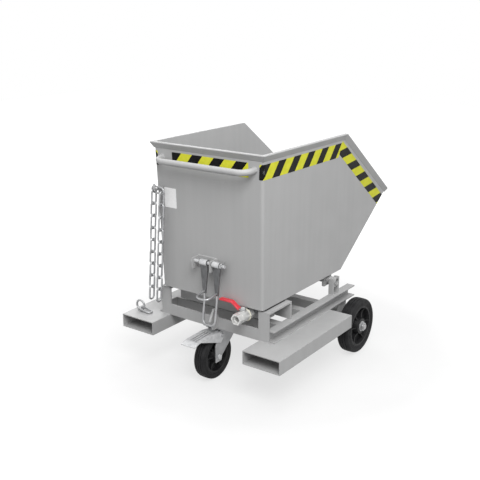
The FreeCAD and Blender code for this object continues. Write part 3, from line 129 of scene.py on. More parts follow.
# Tyres and wheel centres
LATHE_STEPS = 96
GROOVE_SHARE = 0.46
GROOVE_HALF = 0.0014
GROOVE_DEEP = 0.0030
CROWN_DROP = 0.0016
SHOULDER_SHARE = 0.24
SHOULDER_STEPS = 5
SHOULDER_DROP = 0.0012
WALL_RING_SHARES = (0.40, 0.58, 0.76)
WALL_RING_WIDE_SHARE = 0.09
RING_STAND = 0.0011
TYRE_CREASE = math.radians(28)
RIB_COUNT = 6
RIB_STEPS = 10
RIB_HALF = 0.0030
RIB_FOOT = 0.003
RIB_WAIST_SHARE = 0.62
WHEELS = (
    # body, tyre node, wheel centre node, radius at the hub, radius at the band, height of the ribs
    ("wheel_left", "wheel_tyre_left", "wheel_rim_left", 0.036, 0.0835, 0.023),
    ("wheel_right", "wheel_tyre_right", "wheel_rim_right", 0.036, 0.0835, 0.023),
    ("castor_wheel", "castor_tyre", "castor_rim", 0.026, 0.0645, 0.020),
)

# Brake pedal: ribs along the tread, between the bend at its tip and its crest
PEDAL_RIBS = (-0.013, 0.0, 0.013)
PEDAL_RIB_RADIUS = 0.0026
PEDAL_TIP = 0.032
PEDAL_CREST = 0.128
PEDAL_FALL = 0.0038

# Bands round the sleeves at the top of the catch's arms
ARM_HALF = 0.020
SLEEVE_RADIUS = 0.012
SLEEVE_HALF = 0.0175
SLEEVE_BAND = 0.0005

# Seal between the halves of the valve's body
SEAL_RADIUS = 0.0246
SEAL_HALF = 0.0024
SEAL_PLACE_SHARE = 0.70

# Camera, fitted to the photograph
CAMERA_PLACE = Vector((1.861, -2.753, 1.511))
CAMERA_TARGET = Vector((0.0, -0.147, 0.558))
CAMERA_LENS = 57.5
CAMERA_SENSOR = 36.0
CAMERA_SHIFT = (-0.0266, -0.0105)

# Stage
FLOOR_HALF = 9.0
FLOOR_DROP = 0.0005
FLOOR_TONES = (0.19, 0.21)
FLOOR_SHOWN_SHARE = 0.68
FADE_START = 0.75
FADE_END = 1.9
AMBIENT = 0.65
LAMPS = {
    # name: direction from the trolley, distance, size, share of a full white
    "key": ((0.50, -0.50, 0.68), 4.2, 2.4, 0.78),
    "overhead": ((-0.1, 0.1, 1.0), 3.4, 3.0, 0.46),
    "fill": ((-0.75, 0.50, 0.45), 4.5, 2.6, 0.18),
}

# Noise: levels of detail, and the band of its values that a tone or a roughness is spread over
PLAIN_DETAIL = 2.0
SOFT_DETAIL = 3.0
RICH_DETAIL = 5.0
NOISE_BAND = (0.32, 0.68)
STREAK_SIZE = 0.03
STREAK_STRETCH = (1.0, 1.0, 0.05)
EDGE_BAND = (1.0, 0.8)
BEVEL_SAMPLES = 4
PLAIN_GLOSS = 0.5
WHITE = (1.0, 1.0, 1.0)


def wall_share(up):
    """How far up the skip a height lies, from its base to its top."""
    return (up - SKIP_BASE) / (SKIP_TOP - SKIP_BASE)


def wall_half(up):
    """Half the skip's outside width at a height."""
    return BASE_HALF + (TOP_HALF - BASE_HALF) * wall_share(up)


def wall_back(up):
    """The place of the back wall's outside at a height."""
    return BASE_BACK + (TOP_BACK - BASE_BACK) * wall_share(up)


def on_back(along, up, out):
    """A point on the leaning back wall, or so far out from it."""
    return Vector((along, wall_back(up) - out, up))


def on_side(sign, along, up, out):
    """A point on a leaning side wall, counted forward from the base of the back wall.

    Further back than the side it runs round the bend of the corner, and then along the back wall.
    """
    tangent = wall_back(up) + CORNER_BEND
    middle = wall_half(up) - CORNER_BEND
    past = tangent - BASE_BACK - along
    if past <= 0:
        return Vector((sign * (wall_half(up) + out), BASE_BACK + along, up))
    angle = min(past / CORNER_BEND, QUARTER_TURN)
    reach = CORNER_BEND + out
    flat = past - angle * CORNER_BEND
    return Vector((sign * (middle + reach * math.cos(angle) - flat), tangent - reach * math.sin(angle), up))


class Finish:
    """A node material in the making."""

    def __init__(self, name):
        self.material = bpy.data.materials.new(name)
        self.material.use_nodes = True
        self.tree = self.material.node_tree
        self.tree.nodes.clear()
        self.output = self.node("OutputMaterial")
        self.shader = self.node("BsdfPrincipled")
        self.link(self.shader.outputs["BSDF"], self.output.inputs["Surface"])
        self.place = self.node("TexCoord").outputs["Object"]

    def node(self, kind, **settings):
        item = self.tree.nodes.new("ShaderNode" + kind)
        for name, value in settings.items():
            setattr(item, name, value)
        return item

    def link(self, source, target):
        self.tree.links.new(source, target)

    def put(self, value, socket):
        """Link another node's output to a socket, or set a plain value on it."""
        if isinstance(value, bpy.types.NodeSocket):
            self.link(value, socket)
        else:
            socket.default_value = value

    def feed(self, item, **inputs):
        """Set or link the inputs of a node, named with underscores for spaces."""
        for name, value in inputs.items():
            self.put(value, item.inputs[name.replace("_", " ")])
        return item

    def noise(self, size, detail=SOFT_DETAIL, stretch=None):
        """Soft noise whose features are about a size across."""
        place = self.place
        if stretch:
            place = self.feed(self.node("Mapping"), Vector=place, Scale=stretch).outputs["Vector"]
        item = self.feed(self.node("TexNoise"), Vector=place, Scale=1 / size, Detail=detail)
        return item.outputs["Fac"]

    def between(self, value, low, high, start=0.0, end=1.0):
        """A value carried from one range to another."""
        item = self.node("MapRange")
        self.feed(item, Value=value, From_Min=low, From_Max=high, To_Min=start, To_Max=end)
        return item.outputs["Result"]

    def spread(self, size, detail=SOFT_DETAIL, start=0.0, end=1.0, stretch=None):
        """Noise spread over a range."""
        return self.between(self.noise(size, detail, stretch), *NOISE_BAND, start, end)

    def math(self, operation, first, second=0.0):
        item = self.node("Math", operation=operation)
        for socket, value in zip(item.inputs, (first, second)):
            self.put(value, socket)
        return item.outputs["Value"]

    def mix(self, share, first, second, blend="MIX"):
        """Two colours mixed by a share."""
        item = self.node("MixRGB", blend_type=blend)
        self.feed(item, Fac=share)
        for name, value in (("Color1", first), ("Color2", second)):
            if not isinstance(value, bpy.types.NodeSocket):
                value = (*value, 1.0)
            self.put(value, item.inputs[name])
        return item.outputs["Color"]

    def edges(self, radius):
        """The normal rounded over edges, and how strongly each point lies on one."""
        soft = self.feed(self.node("Bevel", samples=BEVEL_SAMPLES), Radius=radius).outputs["Normal"]
        flat = self.node("NewGeometry").outputs["Normal"]
        item = self.node("VectorMath", operation="DOT_PRODUCT")
        self.link(soft, item.inputs[0])
        self.link(flat, item.inputs[1])
        return soft, self.between(item.outputs["Value"], *EDGE_BAND)

    def grain(self, height, strength, distance, normal):
        """A bump over a normal."""
        item = self.node("Bump")
        self.feed(item, Strength=strength, Distance=distance, Height=height, Normal=normal)
        self.link(item.outputs["Normal"], self.shader.inputs["Normal"])


# Finishes by the record's slot: dark and light colour, metal, roughness range, size of the blotches, size and
# strength of the grain, radius and strength of the lightened edges and their colour, which stands for worn
# paint and for a painted highlight along the edges. Some have streaks, crystal spangles of a size, or a gloss
# below the plain one.
DULL_GLOSS = 0.22
FINISHES = {
    "grey_paint": dict(
        dark=(0.383, 0.384, 0.385), light=(0.418, 0.419, 0.419), metal=0.0, rough=(0.42, 0.58), blotch=0.16,
        grain=0.0016, bump=0.10, edge=0.0016, edge_wear_and_highlight=0.35, edge_wear_and_highlight_color=(0.52, 0.52, 0.52), streak=0.5),
    "zinc": dict(
        dark=(0.33, 0.334, 0.342), light=(0.44, 0.444, 0.452), metal=0.60, rough=(0.30, 0.44), blotch=0.030,
        grain=0.0008, bump=0.06, edge=0.0010, edge_wear_and_highlight=0.5, edge_wear_and_highlight_color=(0.80, 0.80, 0.80), spangle=0.007),
    "dark_zinc": dict(
        dark=(0.09, 0.092, 0.095), light=(0.15, 0.152, 0.156), metal=0.55, rough=(0.36, 0.52), blotch=0.02,
        grain=0.0010, bump=0.10, edge=0.0010, edge_wear_and_highlight=0.6, edge_wear_and_highlight_color=(0.55, 0.55, 0.55)),
    "nickel": dict(
        dark=(0.62, 0.62, 0.61), light=(0.76, 0.76, 0.75), metal=0.45, rough=(0.34, 0.46), blotch=0.02,
        grain=0.0006, bump=0.05, edge=0.0012, edge_wear_and_highlight=0.4, edge_wear_and_highlight_color=(0.92, 0.91, 0.89)),
    "red_plastic": dict(
        dark=(0.60, 0.030, 0.045), light=(0.74, 0.055, 0.075), metal=0.0, rough=(0.28, 0.42), blotch=0.02,
        grain=0.0009, bump=0.06, edge=0.0014, edge_wear_and_highlight=0.25, edge_wear_and_highlight_color=(0.85, 0.20, 0.22)),
    "black_rubber": dict(
        dark=(0.010, 0.010, 0.011), light=(0.022, 0.022, 0.022), metal=0.0, rough=(0.66, 0.86), blotch=0.03,
        grain=0.0008, bump=0.25, edge=0.0010, edge_wear_and_highlight=0.3, edge_wear_and_highlight_color=(0.05, 0.05, 0.05), gloss=DULL_GLOSS),
    "black_tyre": dict(
        dark=(0.008, 0.008, 0.009), light=(0.021, 0.021, 0.022), metal=0.0, rough=(0.55, 0.78), blotch=0.035,
        grain=0.0009, bump=0.20, edge=0.0008, edge_wear_and_highlight=0.45, edge_wear_and_highlight_color=(0.07, 0.07, 0.07), gloss=DULL_GLOSS),
    "black_plastic": dict(
        dark=(0.006, 0.006, 0.007), light=(0.016, 0.016, 0.017), metal=0.0, rough=(0.40, 0.58), blotch=0.03,
        grain=0.0007, bump=0.12, edge=0.0012, edge_wear_and_highlight=0.3, edge_wear_and_highlight_color=(0.06, 0.06, 0.06), gloss=DULL_GLOSS),
    "steel": dict(
        dark=(0.34, 0.34, 0.345), light=(0.56, 0.56, 0.565), metal=0.9, rough=(0.30, 0.50), blotch=0.02,
        grain=0.0006, bump=0.08, edge=0.0010, edge_wear_and_highlight=0.4, edge_wear_and_highlight_color=(0.7, 0.7, 0.7)),
    "brass": dict(
        dark=(0.48, 0.33, 0.13), light=(0.66, 0.48, 0.20), metal=0.9, rough=(0.30, 0.48), blotch=0.015,
        grain=0.0006, bump=0.08, edge=0.0008, edge_wear_and_highlight=0.4, edge_wear_and_highlight_color=(0.8, 0.62, 0.3)),
}
# Finishes that aren't a slot of the record: paler zinc on some pieces, and the valve's seal
PALE_ZINC = dict(
    dark=(0.52, 0.525, 0.535), light=(0.70, 0.705, 0.715), metal=0.35, rough=(0.34, 0.48), blotch=0.020,
    grain=0.0008, bump=0.06, edge=0.0012, edge_wear_and_highlight=0.5, edge_wear_and_highlight_color=(0.85, 0.85, 0.85), spangle=0.007)
SEAL_FINISH = dict(
    dark=(0.62, 0.60, 0.50), light=(0.72, 0.70, 0.60), metal=0.0, rough=(0.40, 0.55), blotch=0.01,
    grain=0.0006, bump=0.06, edge=0.0008, edge_wear_and_highlight=0.2, edge_wear_and_highlight_color=(0.80, 0.78, 0.66))
# Solids that look other than their slot's finish, and the slot that the paler zinc belongs to
NODE_FINISHES = {
    "brake_pedal": "pale_zinc",
    "catch_bail": "zinc",
    "catch_pull_bow": "zinc",
    "catch_pin": "pale_zinc",
    "castor_axle_bolt": "pale_zinc",
    "valve_nut": "pale_zinc",
}
SPANGLE_SHARE = 0.18
TAPE_YELLOWS = ((0.64, 0.64, 0.040), (0.72, 0.715, 0.060))
TAPE_BLACKS = ((0.005, 0.005, 0.005), (0.012, 0.012, 0.012))
TAPE_BLOTCH = 0.02
TAPE_ROUGH = (0.38, 0.54)
TAPE_GRAIN = 0.004
TAPE_BUMP = 0.05
TAPE_GLOSS = 0.08
LABEL_TONES = ((0.88, 0.88, 0.88), (0.95, 0.95, 0.95))
LABEL_BLOTCH = 0.008
LABEL_ROUGH = (0.35, 0.50)
LABEL_GRAIN = 0.0012
LABEL_BUMP = 0.06
FLOOR_BLOTCH = 0.4
FLOOR_ROUGH = 0.9


def surface_finish(name, dark, light, metal, rough, blotch, grain, bump, edge, edge_wear_and_highlight, edge_wear_and_highlight_color, streak=0.0,
                   spangle=0.0, gloss=PLAIN_GLOSS):
    """A finish with blotches, grain and lightened edges, partly worn paint and partly a painted highlight, and
    streaks or crystal spangles where it has them.
    """
    finish = Finish(name)
    tone = finish.spread(blotch, RICH_DETAIL)
    if streak:
        tone = finish.mix(streak, tone, finish.spread(STREAK_SIZE, stretch=STREAK_STRETCH))
    if spangle:
        cells = finish.feed(finish.node("TexVoronoi"), Vector=finish.place, Scale=1 / spangle)
        tone = finish.mix(SPANGLE_SHARE, tone, cells.outputs["Color"], "OVERLAY")
    color = finish.mix(tone, dark, light)
    # Edges are lightened towards their own colour: partly worn paint, partly a painted highlight where light
    # catches the edges.
    normal, edge_wear_and_highlight_mask = finish.edges(edge)
    edge_wear_and_highlight_mask = finish.math("MULTIPLY", edge_wear_and_highlight_mask, edge_wear_and_highlight)
    color = finish.mix(edge_wear_and_highlight_mask, color, edge_wear_and_highlight_color)
    finish.link(color, finish.shader.inputs["Base Color"])
    finish.link(finish.spread(blotch / 2, SOFT_DETAIL, *rough), finish.shader.inputs["Roughness"])
    finish.shader.inputs["Metallic"].default_value = metal
    finish.shader.inputs["Specular IOR Level"].default_value = gloss
    finish.grain(finish.noise(grain, PLAIN_DETAIL), bump, grain / 2, normal)
    return finish.material


def tape_finish():
    """Printed stripes: the texture place across counts stripes, one unit to a black and a yellow one."""
    finish = Finish("hazard_tape")
    place = finish.node("UVMap").outputs["UV"]
    along = finish.feed(finish.node("SeparateXYZ"), Vector=place).outputs["X"]
    black = finish.math("LESS_THAN", finish.math("FRACT", along), BLACK_SHARE)
    fade = finish.spread(TAPE_BLOTCH)
    color = finish.mix(black, finish.mix(fade, *TAPE_YELLOWS), finish.mix(fade, *TAPE_BLACKS))
    finish.link(color, finish.shader.inputs["Base Color"])
    finish.link(finish.spread(TAPE_BLOTCH / 2, SOFT_DETAIL, *TAPE_ROUGH), finish.shader.inputs["Roughness"])
    finish.shader.inputs["Specular IOR Level"].default_value = TAPE_GLOSS
    normal, _ = finish.edges(TAPE_THICK)
    finish.grain(finish.noise(TAPE_GRAIN, PLAIN_DETAIL), TAPE_BUMP, TAPE_THICK, normal)
    return finish.material


def label_finish():
    """White paper, a little uneven."""
    finish = Finish("white_label")
    tone = finish.spread(LABEL_BLOTCH)
    finish.link(finish.mix(tone, *LABEL_TONES), finish.shader.inputs["Base Color"])
    finish.link(finish.between(tone, 0.0, 1.0, *LABEL_ROUGH), finish.shader.inputs["Roughness"])
    normal, _ = finish.edges(LABEL_THICK)
    finish.grain(finish.noise(LABEL_GRAIN, PLAIN_DETAIL), LABEL_BUMP, LABEL_THICK, normal)
    return finish.material


def floor_material():
    """Pale floor that keeps the shadow near the trolley and turns to plain white further out."""
    finish = Finish("stage_floor")
    far = finish.node("VectorMath", operation="LENGTH")
    finish.link(finish.place, far.inputs[0])
    tones = [(tone, tone, tone) for tone in FLOOR_TONES]
    finish.link(finish.mix(finish.spread(FLOOR_BLOTCH), *tones), finish.shader.inputs["Base Color"])
    finish.shader.inputs["Roughness"].default_value = FLOOR_ROUGH
    path = finish.node("LightPath")
    seen = finish.math("MAXIMUM", path.outputs["Is Camera Ray"], path.outputs["Is Glossy Ray"])
    shown = finish.between(far.outputs["Value"], FADE_START, FADE_END, FLOOR_SHOWN_SHARE, 1.0)
    strength = finish.math("MULTIPLY", shown, seen)
    glow = finish.feed(finish.node("Emission"), Color=(*WHITE, 1.0), Strength=strength)
    both = finish.node("AddShader")
    finish.link(finish.shader.outputs["BSDF"], both.inputs[0])
    finish.link(glow.outputs["Emission"], both.inputs[1])
    finish.link(both.outputs["Shader"], finish.output.inputs["Surface"])
    return finish.material


finishes = {slot: surface_finish(slot, **values) for slot, values in FINISHES.items()}
finishes["pale_zinc"] = surface_finish("pale_zinc", **PALE_ZINC)
finishes["valve_seal"] = surface_finish("valve_seal", **SEAL_FINISH)
finishes["hazard_tape"] = tape_finish()
finishes["white_label"] = label_finish()


def dress_solids():
    """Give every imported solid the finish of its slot, or the one that is named for its node."""
    for sub in frame["record"]["subparts"]:
        item = frame["nodes"][sub["node"]]
        finish = NODE_FINISHES.get(sub["node"], sub["material_slot"])
        for holder in item.material_slots:
            holder.material = finishes[finish]


def add_piece(name, shape, body, finish, crease=PLAIN_CREASE):
    """Turn a finished bmesh into a piece that rides on a body."""
    bmesh.ops.recalc_face_normals(shape, faces=shape.faces)
    mesh = bpy.data.meshes.new(name)
    shape.to_mesh(mesh)
    shape.free()
    mesh.materials.append(finishes[finish])
    mesh.shade_smooth()
    mesh.set_sharp_from_angle(angle=crease)
    piece = bpy.data.objects.new(name, mesh)
    bpy.context.scene.collection.objects.link(piece)
    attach(piece, body)
    return piece


def bridge(shape, ring, other):
    """Add the faces between two closed rings of as many points to a bmesh."""
    for index in range(len(ring)):
        shape.faces.new((ring[index - 1], ring[index], other[index], other[index - 1]))


def strip_stations(length, corner):
    """Places along a strip, each with the inset of its edges there: rounded ends and even steps between."""
    ends = []
    for step in range(CORNER_STEPS + 1):
        angle = QUARTER_TURN * step / CORNER_STEPS
        ends.append((corner * (1 - math.cos(angle)), corner * (1 - math.sin(angle))))
    count = max(1, round((length - 2 * corner) / TAPE_STEP))
    middle = [(corner + (length - 2 * corner) * step / count, 0.0) for step in range(1, count)]
    return ends + middle + [(length - place, inset) for place, inset in reversed(ends)]


def add_strip(name, lines, corner, place, texture, thick, body, finish):
    """A thin strip stuck on a wall by the function place, between a low and a high line of (along, up)."""
    shape = bmesh.new()
    layer = shape.loops.layers.uv.new("UVMap")
    known = {}
    rings = []
    (low_start, low_end), (high_start, high_end) = lines
    length = (low_end - low_start).length
    for along, inset in strip_stations(length, corner):
        low = low_start.lerp(low_end, along / length)
        high = high_start.lerp(high_end, along / length)
        rise = (high - low).normalized() * inset
        ring = []
        for spot, out in ((low + rise, 0.0), (low + rise, thick), (high - rise, thick), (high - rise, 0.0)):
            vertex = shape.verts.new(place(spot.x, spot.y, out))
            known[vertex] = texture(spot.x, spot.y)
            ring.append(vertex)
        rings.append(ring)
    for ring, other in zip(rings, rings[1:]):
        bridge(shape, ring, other)
    shape.faces.new(rings[0])
    shape.faces.new(rings[-1])
    for face in shape.faces:
        for loop in face.loops:
            loop[layer].uv = known[loop.vert]
    add_piece(name, shape, body, finish)


def meeting(point, heading, other, other_heading):
    """Where two lines in a plane cross."""
    gap = other - point
    share = gap.cross(other_heading) / heading.cross(other_heading)
    return point + heading * share


def level_lines(across, heights):
    """The low and the high edge of an upright strip."""
    return [[Vector((along, up)) for along in across] for up in heights]


def add_back_tape():
    """Striped tape across the back, below the rim."""
    heights = [SKIP_TOP - depth for depth in BACK_TAPE_DEPTHS]

    def texture(along, up):
        return ((along - BACK_STRIPE_START - BACK_LEAN_SHARE * (up - heights[0])) / BACK_STRIPE, up)

    add_strip("tape_back", level_lines(BACK_TAPE, heights), TAPE_CORNER, on_back, texture, TAPE_THICK, "skip",
              "hazard_tape")


def add_side_tapes():
    """Striped tape below the rim along both sides, round the back corners, and down both slopes."""
    heights = [SKIP_TOP - depth for depth in SIDE_TAPE_DEPTHS]
    bend = Vector((RIM_BEND, SKIP_TOP))
    lip = Vector((LIP_Y - BASE_BACK, SKIP_BASE + LIP_RISE))
    foot = Vector((FLOOR_FRONT - BASE_BACK, SKIP_BASE))
    slope = (lip - bend).normalized()
    square = Vector((-slope.y, slope.x))
    outer = bend + square * SLOPE_TAPE_DEPTHS[0]
    heading = (lip + square * SLOPE_TAPE_DEPTHS[1] - outer).normalized()
    outward = Vector((-heading.y, heading.x))
    chute = (lip - foot).normalized()
    chute_line = foot + Vector((-chute.y, chute.x)) * CHUTE_EDGE
    mitre_foot = Vector((MITRE_FOOT[0], SKIP_TOP + MITRE_FOOT[1]))
    mitre = Vector((MITRE_HEAD[0], SKIP_TOP + MITRE_HEAD[1])) - mitre_foot
    level = Vector((1, 0))
    side_lines = []
    for up in heights:
        side_lines.append((Vector((SIDE_TAPE_START, up)), meeting(Vector((0, up)), level, mitre_foot, mitre)))
    slope_lines = []
    for edge in (outer - outward * SLOPE_TAPE_WIDE, outer):
        head = meeting(edge, heading, mitre_foot, mitre)
        slope_lines.append((head, meeting(edge, heading, chute_line, chute)))

    def side_texture(along, up):
        return ((along - SIDE_STRIPE_START - SIDE_LEAN_SHARE * (up - heights[0])) / SIDE_STRIPE, up)

    def slope_texture(along, up):
        offset = Vector((along, up)) - outer
        lean = SLOPE_LEAN_SHARE * offset.dot(outward)
        return ((offset.dot(heading) - SLOPE_STRIPE_START - lean) / SLOPE_STRIPE, up)

    for side, sign in SIDES:
        def place(along, up, out, sign=sign):
            return on_side(sign, along, up, out)
        add_strip("tape_side_" + side, side_lines, TAPE_CORNER, place, side_texture, TAPE_THICK, "skip",
                  "hazard_tape")
        add_strip("tape_slope_" + side, slope_lines, TAPE_CORNER, place, slope_texture, TAPE_THICK, "skip",
                  "hazard_tape")


def add_label():
    """The blank sticker on the back wall."""
    heights = [SKIP_BASE + rise for rise in LABEL_HEIGHTS]
    add_strip("blank_label", level_lines(LABEL_ACROSS, heights), LABEL_CORNER, on_back,
              lambda along, up: (along, up), LABEL_THICK, "skip", "white_label")


def ring_corners(middle, radius, axis):
    """Points round a circle whose axis is given."""
    first = axis.orthogonal().normalized()
    second = axis.cross(first)
    points = []
    for index in range(RING_STEPS):
        angle = FULL_TURN * index / RING_STEPS
        points.append(middle + first * math.cos(angle) * radius + second * math.sin(angle) * radius)
    return points


def box_corners(low, high, level):
    """The corners of a level rectangle."""
    return [Vector((low.x, low.y, level)), Vector((high.x, low.y, level)),
            Vector((high.x, high.y, level)), Vector((low.x, high.y, level))]


def even_points(points, closed):
    """Points at even steps along a line of points."""
    line = points + points[:1] if closed else points
    spots = []
    for start, end in zip(line, line[1:]):
        count = max(1, round((end - start).length / BEAD_STEP))
        for index in range(count):
            spots.append(start.lerp(end, index / count))
    if not closed:
        spots.append(line[-1])
    return spots


def lay_bead(shape, points, radius, closed=False, dip_share=BEAD_DIP_SHARE):
    """Add a bead to a bmesh: a tube along a line of points, with every other ring dipped as on a weld."""
    spots = even_points(points, closed)
    count = len(spots)
    rings = []
    for index, spot in enumerate(spots):
        before = spots[index - 1] if index or closed else spot
        after = spots[(index + 1) % count] if index < count - 1 or closed else spot
        heading = (after - before).normalized()
        first = heading.orthogonal().normalized()
        if abs(heading.z) < STEEP_SHARE:
            first = heading.cross(UP).normalized()
        second = heading.cross(first)
        size = radius * (1.0 if index % 2 else dip_share)
        ring = []
        for side in range(BEAD_SIDES):
            angle = FULL_TURN * side / BEAD_SIDES
            ring.append(shape.verts.new(spot + (first * math.cos(angle) + second * math.sin(angle)) * size))
        rings.append(ring)
    pairs = list(zip(rings, rings[1:]))
    if closed:
        pairs.append((rings[-1], rings[0]))
    for ring, other in pairs:
        bridge(shape, ring, other)
    if not closed:
        shape.faces.new(rings[0])
        shape.faces.new(rings[-1])


def add_skip_welds():
    """Beads on the skip: handle, bracket, hook, trough, lugs and the seams inside."""
    shape = bmesh.new()
    _, handle_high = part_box("push_handle")
    for _, sign in SIDES:
        middle = on_back(sign * (handle_high.x - HANDLE_RADIUS), handle_high.z - HANDLE_RADIUS, 0.0)
        lay_bead(shape, ring_corners(middle, HANDLE_RADIUS, FORWARD), BEAD, True)
    bracket_low, bracket_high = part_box("catch_bracket")
    plate = [
        on_back(bracket_low.x, bracket_low.z, 0.0),
        on_back(bracket_high.x, bracket_low.z, 0.0),
        on_back(bracket_high.x, bracket_high.z, 0.0),
        on_back(bracket_low.x, bracket_high.z, 0.0),
    ]
    lay_bead(shape, plate, BEAD, True)
    hook_low, hook_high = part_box("chain_hook")
    hook = (hook_high.x - hook_low.x) / 2
    hook_middle = on_back(hook_low.x + hook, hook_low.z + hook, 0.0)
    lay_bead(shape, ring_corners(hook_middle, hook, FORWARD), FINE_BEAD, True)
    trough_low, trough_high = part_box("drain_trough")
    lay_bead(shape, box_corners(trough_low, trough_high, SKIP_BASE), BEAD, True)
    lug_low, lug_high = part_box("pivot_lugs")
    for _, sign in SIDES:
        line = [Vector((sign * lug_high.x, y, SKIP_BASE)) for y in (lug_low.y, lug_high.y)]
        lay_bead(shape, line, FINE_BEAD)
    lay_bead(shape, box_corners(floor_low, floor_high, FLOOR_TOP), BEAD, True)
    for _, sign in SIDES:
        foot = Vector((sign * floor_high.x, FLOOR_FRONT, FLOOR_TOP))
        lip = Vector((sign * (wall_half(chute_high.z) - SKIP_WALL), LIP_Y, chute_high.z))
        lay_bead(shape, [foot, lip], BEAD)
    add_piece("welds_skip", shape, "skip", "grey_paint")


def add_frame_welds():
    """Beads on the frame: supports, rails on the pockets, pivot forks, axle plates and the ramp hook."""
    shape = bmesh.new()
    pocket_low, pocket_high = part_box("fork_pocket_right")
    rail_low, rail_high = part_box("side_rail_right")
    support_low, support_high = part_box("skip_supports")
    fork_low, fork_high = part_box("pivot_forks")
    plate_low, plate_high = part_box("axle_plates")
    for _, sign in SIDES:
        foot = [
            Vector((sign * support_high.x, rail_low.y, pocket_high.z)),
            Vector((sign * support_high.x, support_low.y, pocket_high.z)),
            Vector((sign * pocket_low.x, support_low.y, pocket_high.z)),
        ]
        lay_bead(shape, foot, BEAD)
        lines = [
            [Vector((sign * x, support_high.y, rail_high.z)) for x in (support_high.x, rail_low.x)],
            [Vector((sign * x, fork_low.y, rail_high.z)) for x in (rail_low.x, fork_high.x)],
            [Vector((sign * fork_high.x, y, rail_high.z)) for y in (fork_low.y, fork_low.y + FORK_CHEEK)],
            [Vector((sign * plate_high.x, y, rail_low.z)) for y in (plate_low.y, plate_high.y)],
        ]
        for line in lines:
            lay_bead(shape, line, FINE_BEAD)
        start = rail_low.y + STITCH_PITCH / 2
        while start + STITCH < pocket_high.y:
            line = [Vector((sign * rail_high.x, y, pocket_high.z)) for y in (start, start + STITCH)]
            lay_bead(shape, line, BEAD)
            start += STITCH_PITCH
    ramp_low, ramp_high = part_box("catch_ramp")
    bar_low, bar_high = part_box("back_bar")
    for x in (ramp_low.x, ramp_high.x):
        lay_bead(shape, [Vector((x, bar_low.y, z)) for z in (ramp_low.z, bar_high.z)], FINE_BEAD)
    add_piece("welds_frame", shape, "frame", "grey_paint")


def tyre_profile(half, inner, outer):
    """The closed section of a tyre: grooved tread, rounded shoulders and ringed walls."""
    points = []
    for place in (0.0, half * GROOVE_SHARE):
        crown = outer - (place / half) ** 2 * CROWN_DROP
        if place:
            points.append((place - GROOVE_HALF, crown))
            points.append((place - GROOVE_HALF, crown - GROOVE_DEEP))
        points.append((place + GROOVE_HALF, crown - GROOVE_DEEP))
        points.append((place + GROOVE_HALF, crown))
    deep = outer - inner
    shoulder = deep * SHOULDER_SHARE
    for step in range(SHOULDER_STEPS):
        angle = QUARTER_TURN * (2 * step + 1) / (2 * SHOULDER_STEPS)
        points.append((half - shoulder + math.sin(angle) * shoulder,
                       outer - SHOULDER_DROP - shoulder + math.cos(angle) * shoulder))
    for share in WALL_RING_SHARES:
        start = outer - deep * share
        end = start - deep * WALL_RING_WIDE_SHARE
        points.append((half, start))
        points.append((half - RING_STAND, start - RING_STAND))
        points.append((half - RING_STAND, end))
        points.append((half, end - RING_STAND))
    points.append((half - 2 * RING_STAND, inner))
    mirrored = [(-along, radius) for along, radius in reversed(points)]
    return mirrored + points


def turn(shape, profile, middle, axis):
    """Add a closed section of (along, radius), turned about an axis, to a bmesh."""
    first = axis.orthogonal().normalized()
    second = axis.cross(first)
    rings = []
    for step in range(LATHE_STEPS):
        angle = FULL_TURN * step / LATHE_STEPS
        out = first * math.cos(angle) + second * math.sin(angle)
        rings.append([shape.verts.new(middle + axis * along + out * radius) for along, radius in profile])
    for step in range(LATHE_STEPS):
        bridge(shape, rings[step - 1], rings[step])


def add_tyre(node, rim_node, body):
    """A tyre with its tread, in place of the plain solid."""
    low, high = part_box(node)
    rim_low, rim_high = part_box(rim_node)
    inner = (rim_high.z - rim_low.z) / 2
    shape = bmesh.new()
    turn(shape, tyre_profile((high.x - low.x) / 2, inner, (high.z - low.z) / 2), (low + high) / 2, ACROSS)
    piece = add_piece(node + "_tread", shape, body, "black_tyre", TYRE_CREASE)
    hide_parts(node)


def add_rim_ribs(rim_node, body, hub, band, stand):
    """Moulded ribs between the hub and the band, on both faces of a wheel centre."""
    low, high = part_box(rim_node)
    middle = (low + high) / 2
    shape = bmesh.new()
    for _, face in SIDES:
        for index in range(RIB_COUNT):
            angle = FULL_TURN * index / RIB_COUNT
            out = Vector((0, math.cos(angle), math.sin(angle)))
            aside = Vector((0, -math.sin(angle), math.cos(angle))) * RIB_HALF
            crest = []
            foot = []
            for step in range(RIB_STEPS + 1):
                share = step / RIB_STEPS
                spot = middle + out * (hub + (band - hub) * share)
                height = stand * (RIB_WAIST_SHARE + (1 - RIB_WAIST_SHARE) * (2 * share - 1) ** 2)
                crest.append(spot + ACROSS * face * height)
                foot.append(spot + ACROSS * face * RIB_FOOT)
            outline = crest + foot[::-1]
            near = [shape.verts.new(point - aside) for point in outline]
            far = [shape.verts.new(point + aside) for point in outline]
            shape.faces.new(near)
            shape.faces.new(far)
            bridge(shape, near, far)
    add_piece(rim_node + "_ribs", shape, body, "black_plastic")


def add_wheels():
    """Tyres and ribs on the two fixed wheels and the castor's wheel."""
    for body, tyre_node, rim_node, hub, band, stand in WHEELS:
        add_tyre(tyre_node, rim_node, body)
        add_rim_ribs(rim_node, body, hub, band, stand)


def add_pedal_ribs():
    """Pressed ribs along the pedal's tread."""
    low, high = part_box("brake_pedal")
    shape = bmesh.new()
    for x in PEDAL_RIBS:
        line = [Vector((x, low.y + PEDAL_TIP, high.z - PEDAL_FALL)), Vector((x, low.y + PEDAL_CREST, high.z))]
        lay_bead(shape, line, PEDAL_RIB_RADIUS, dip_share=1.0)
    add_piece("pedal_ribs", shape, "pedal", "zinc")


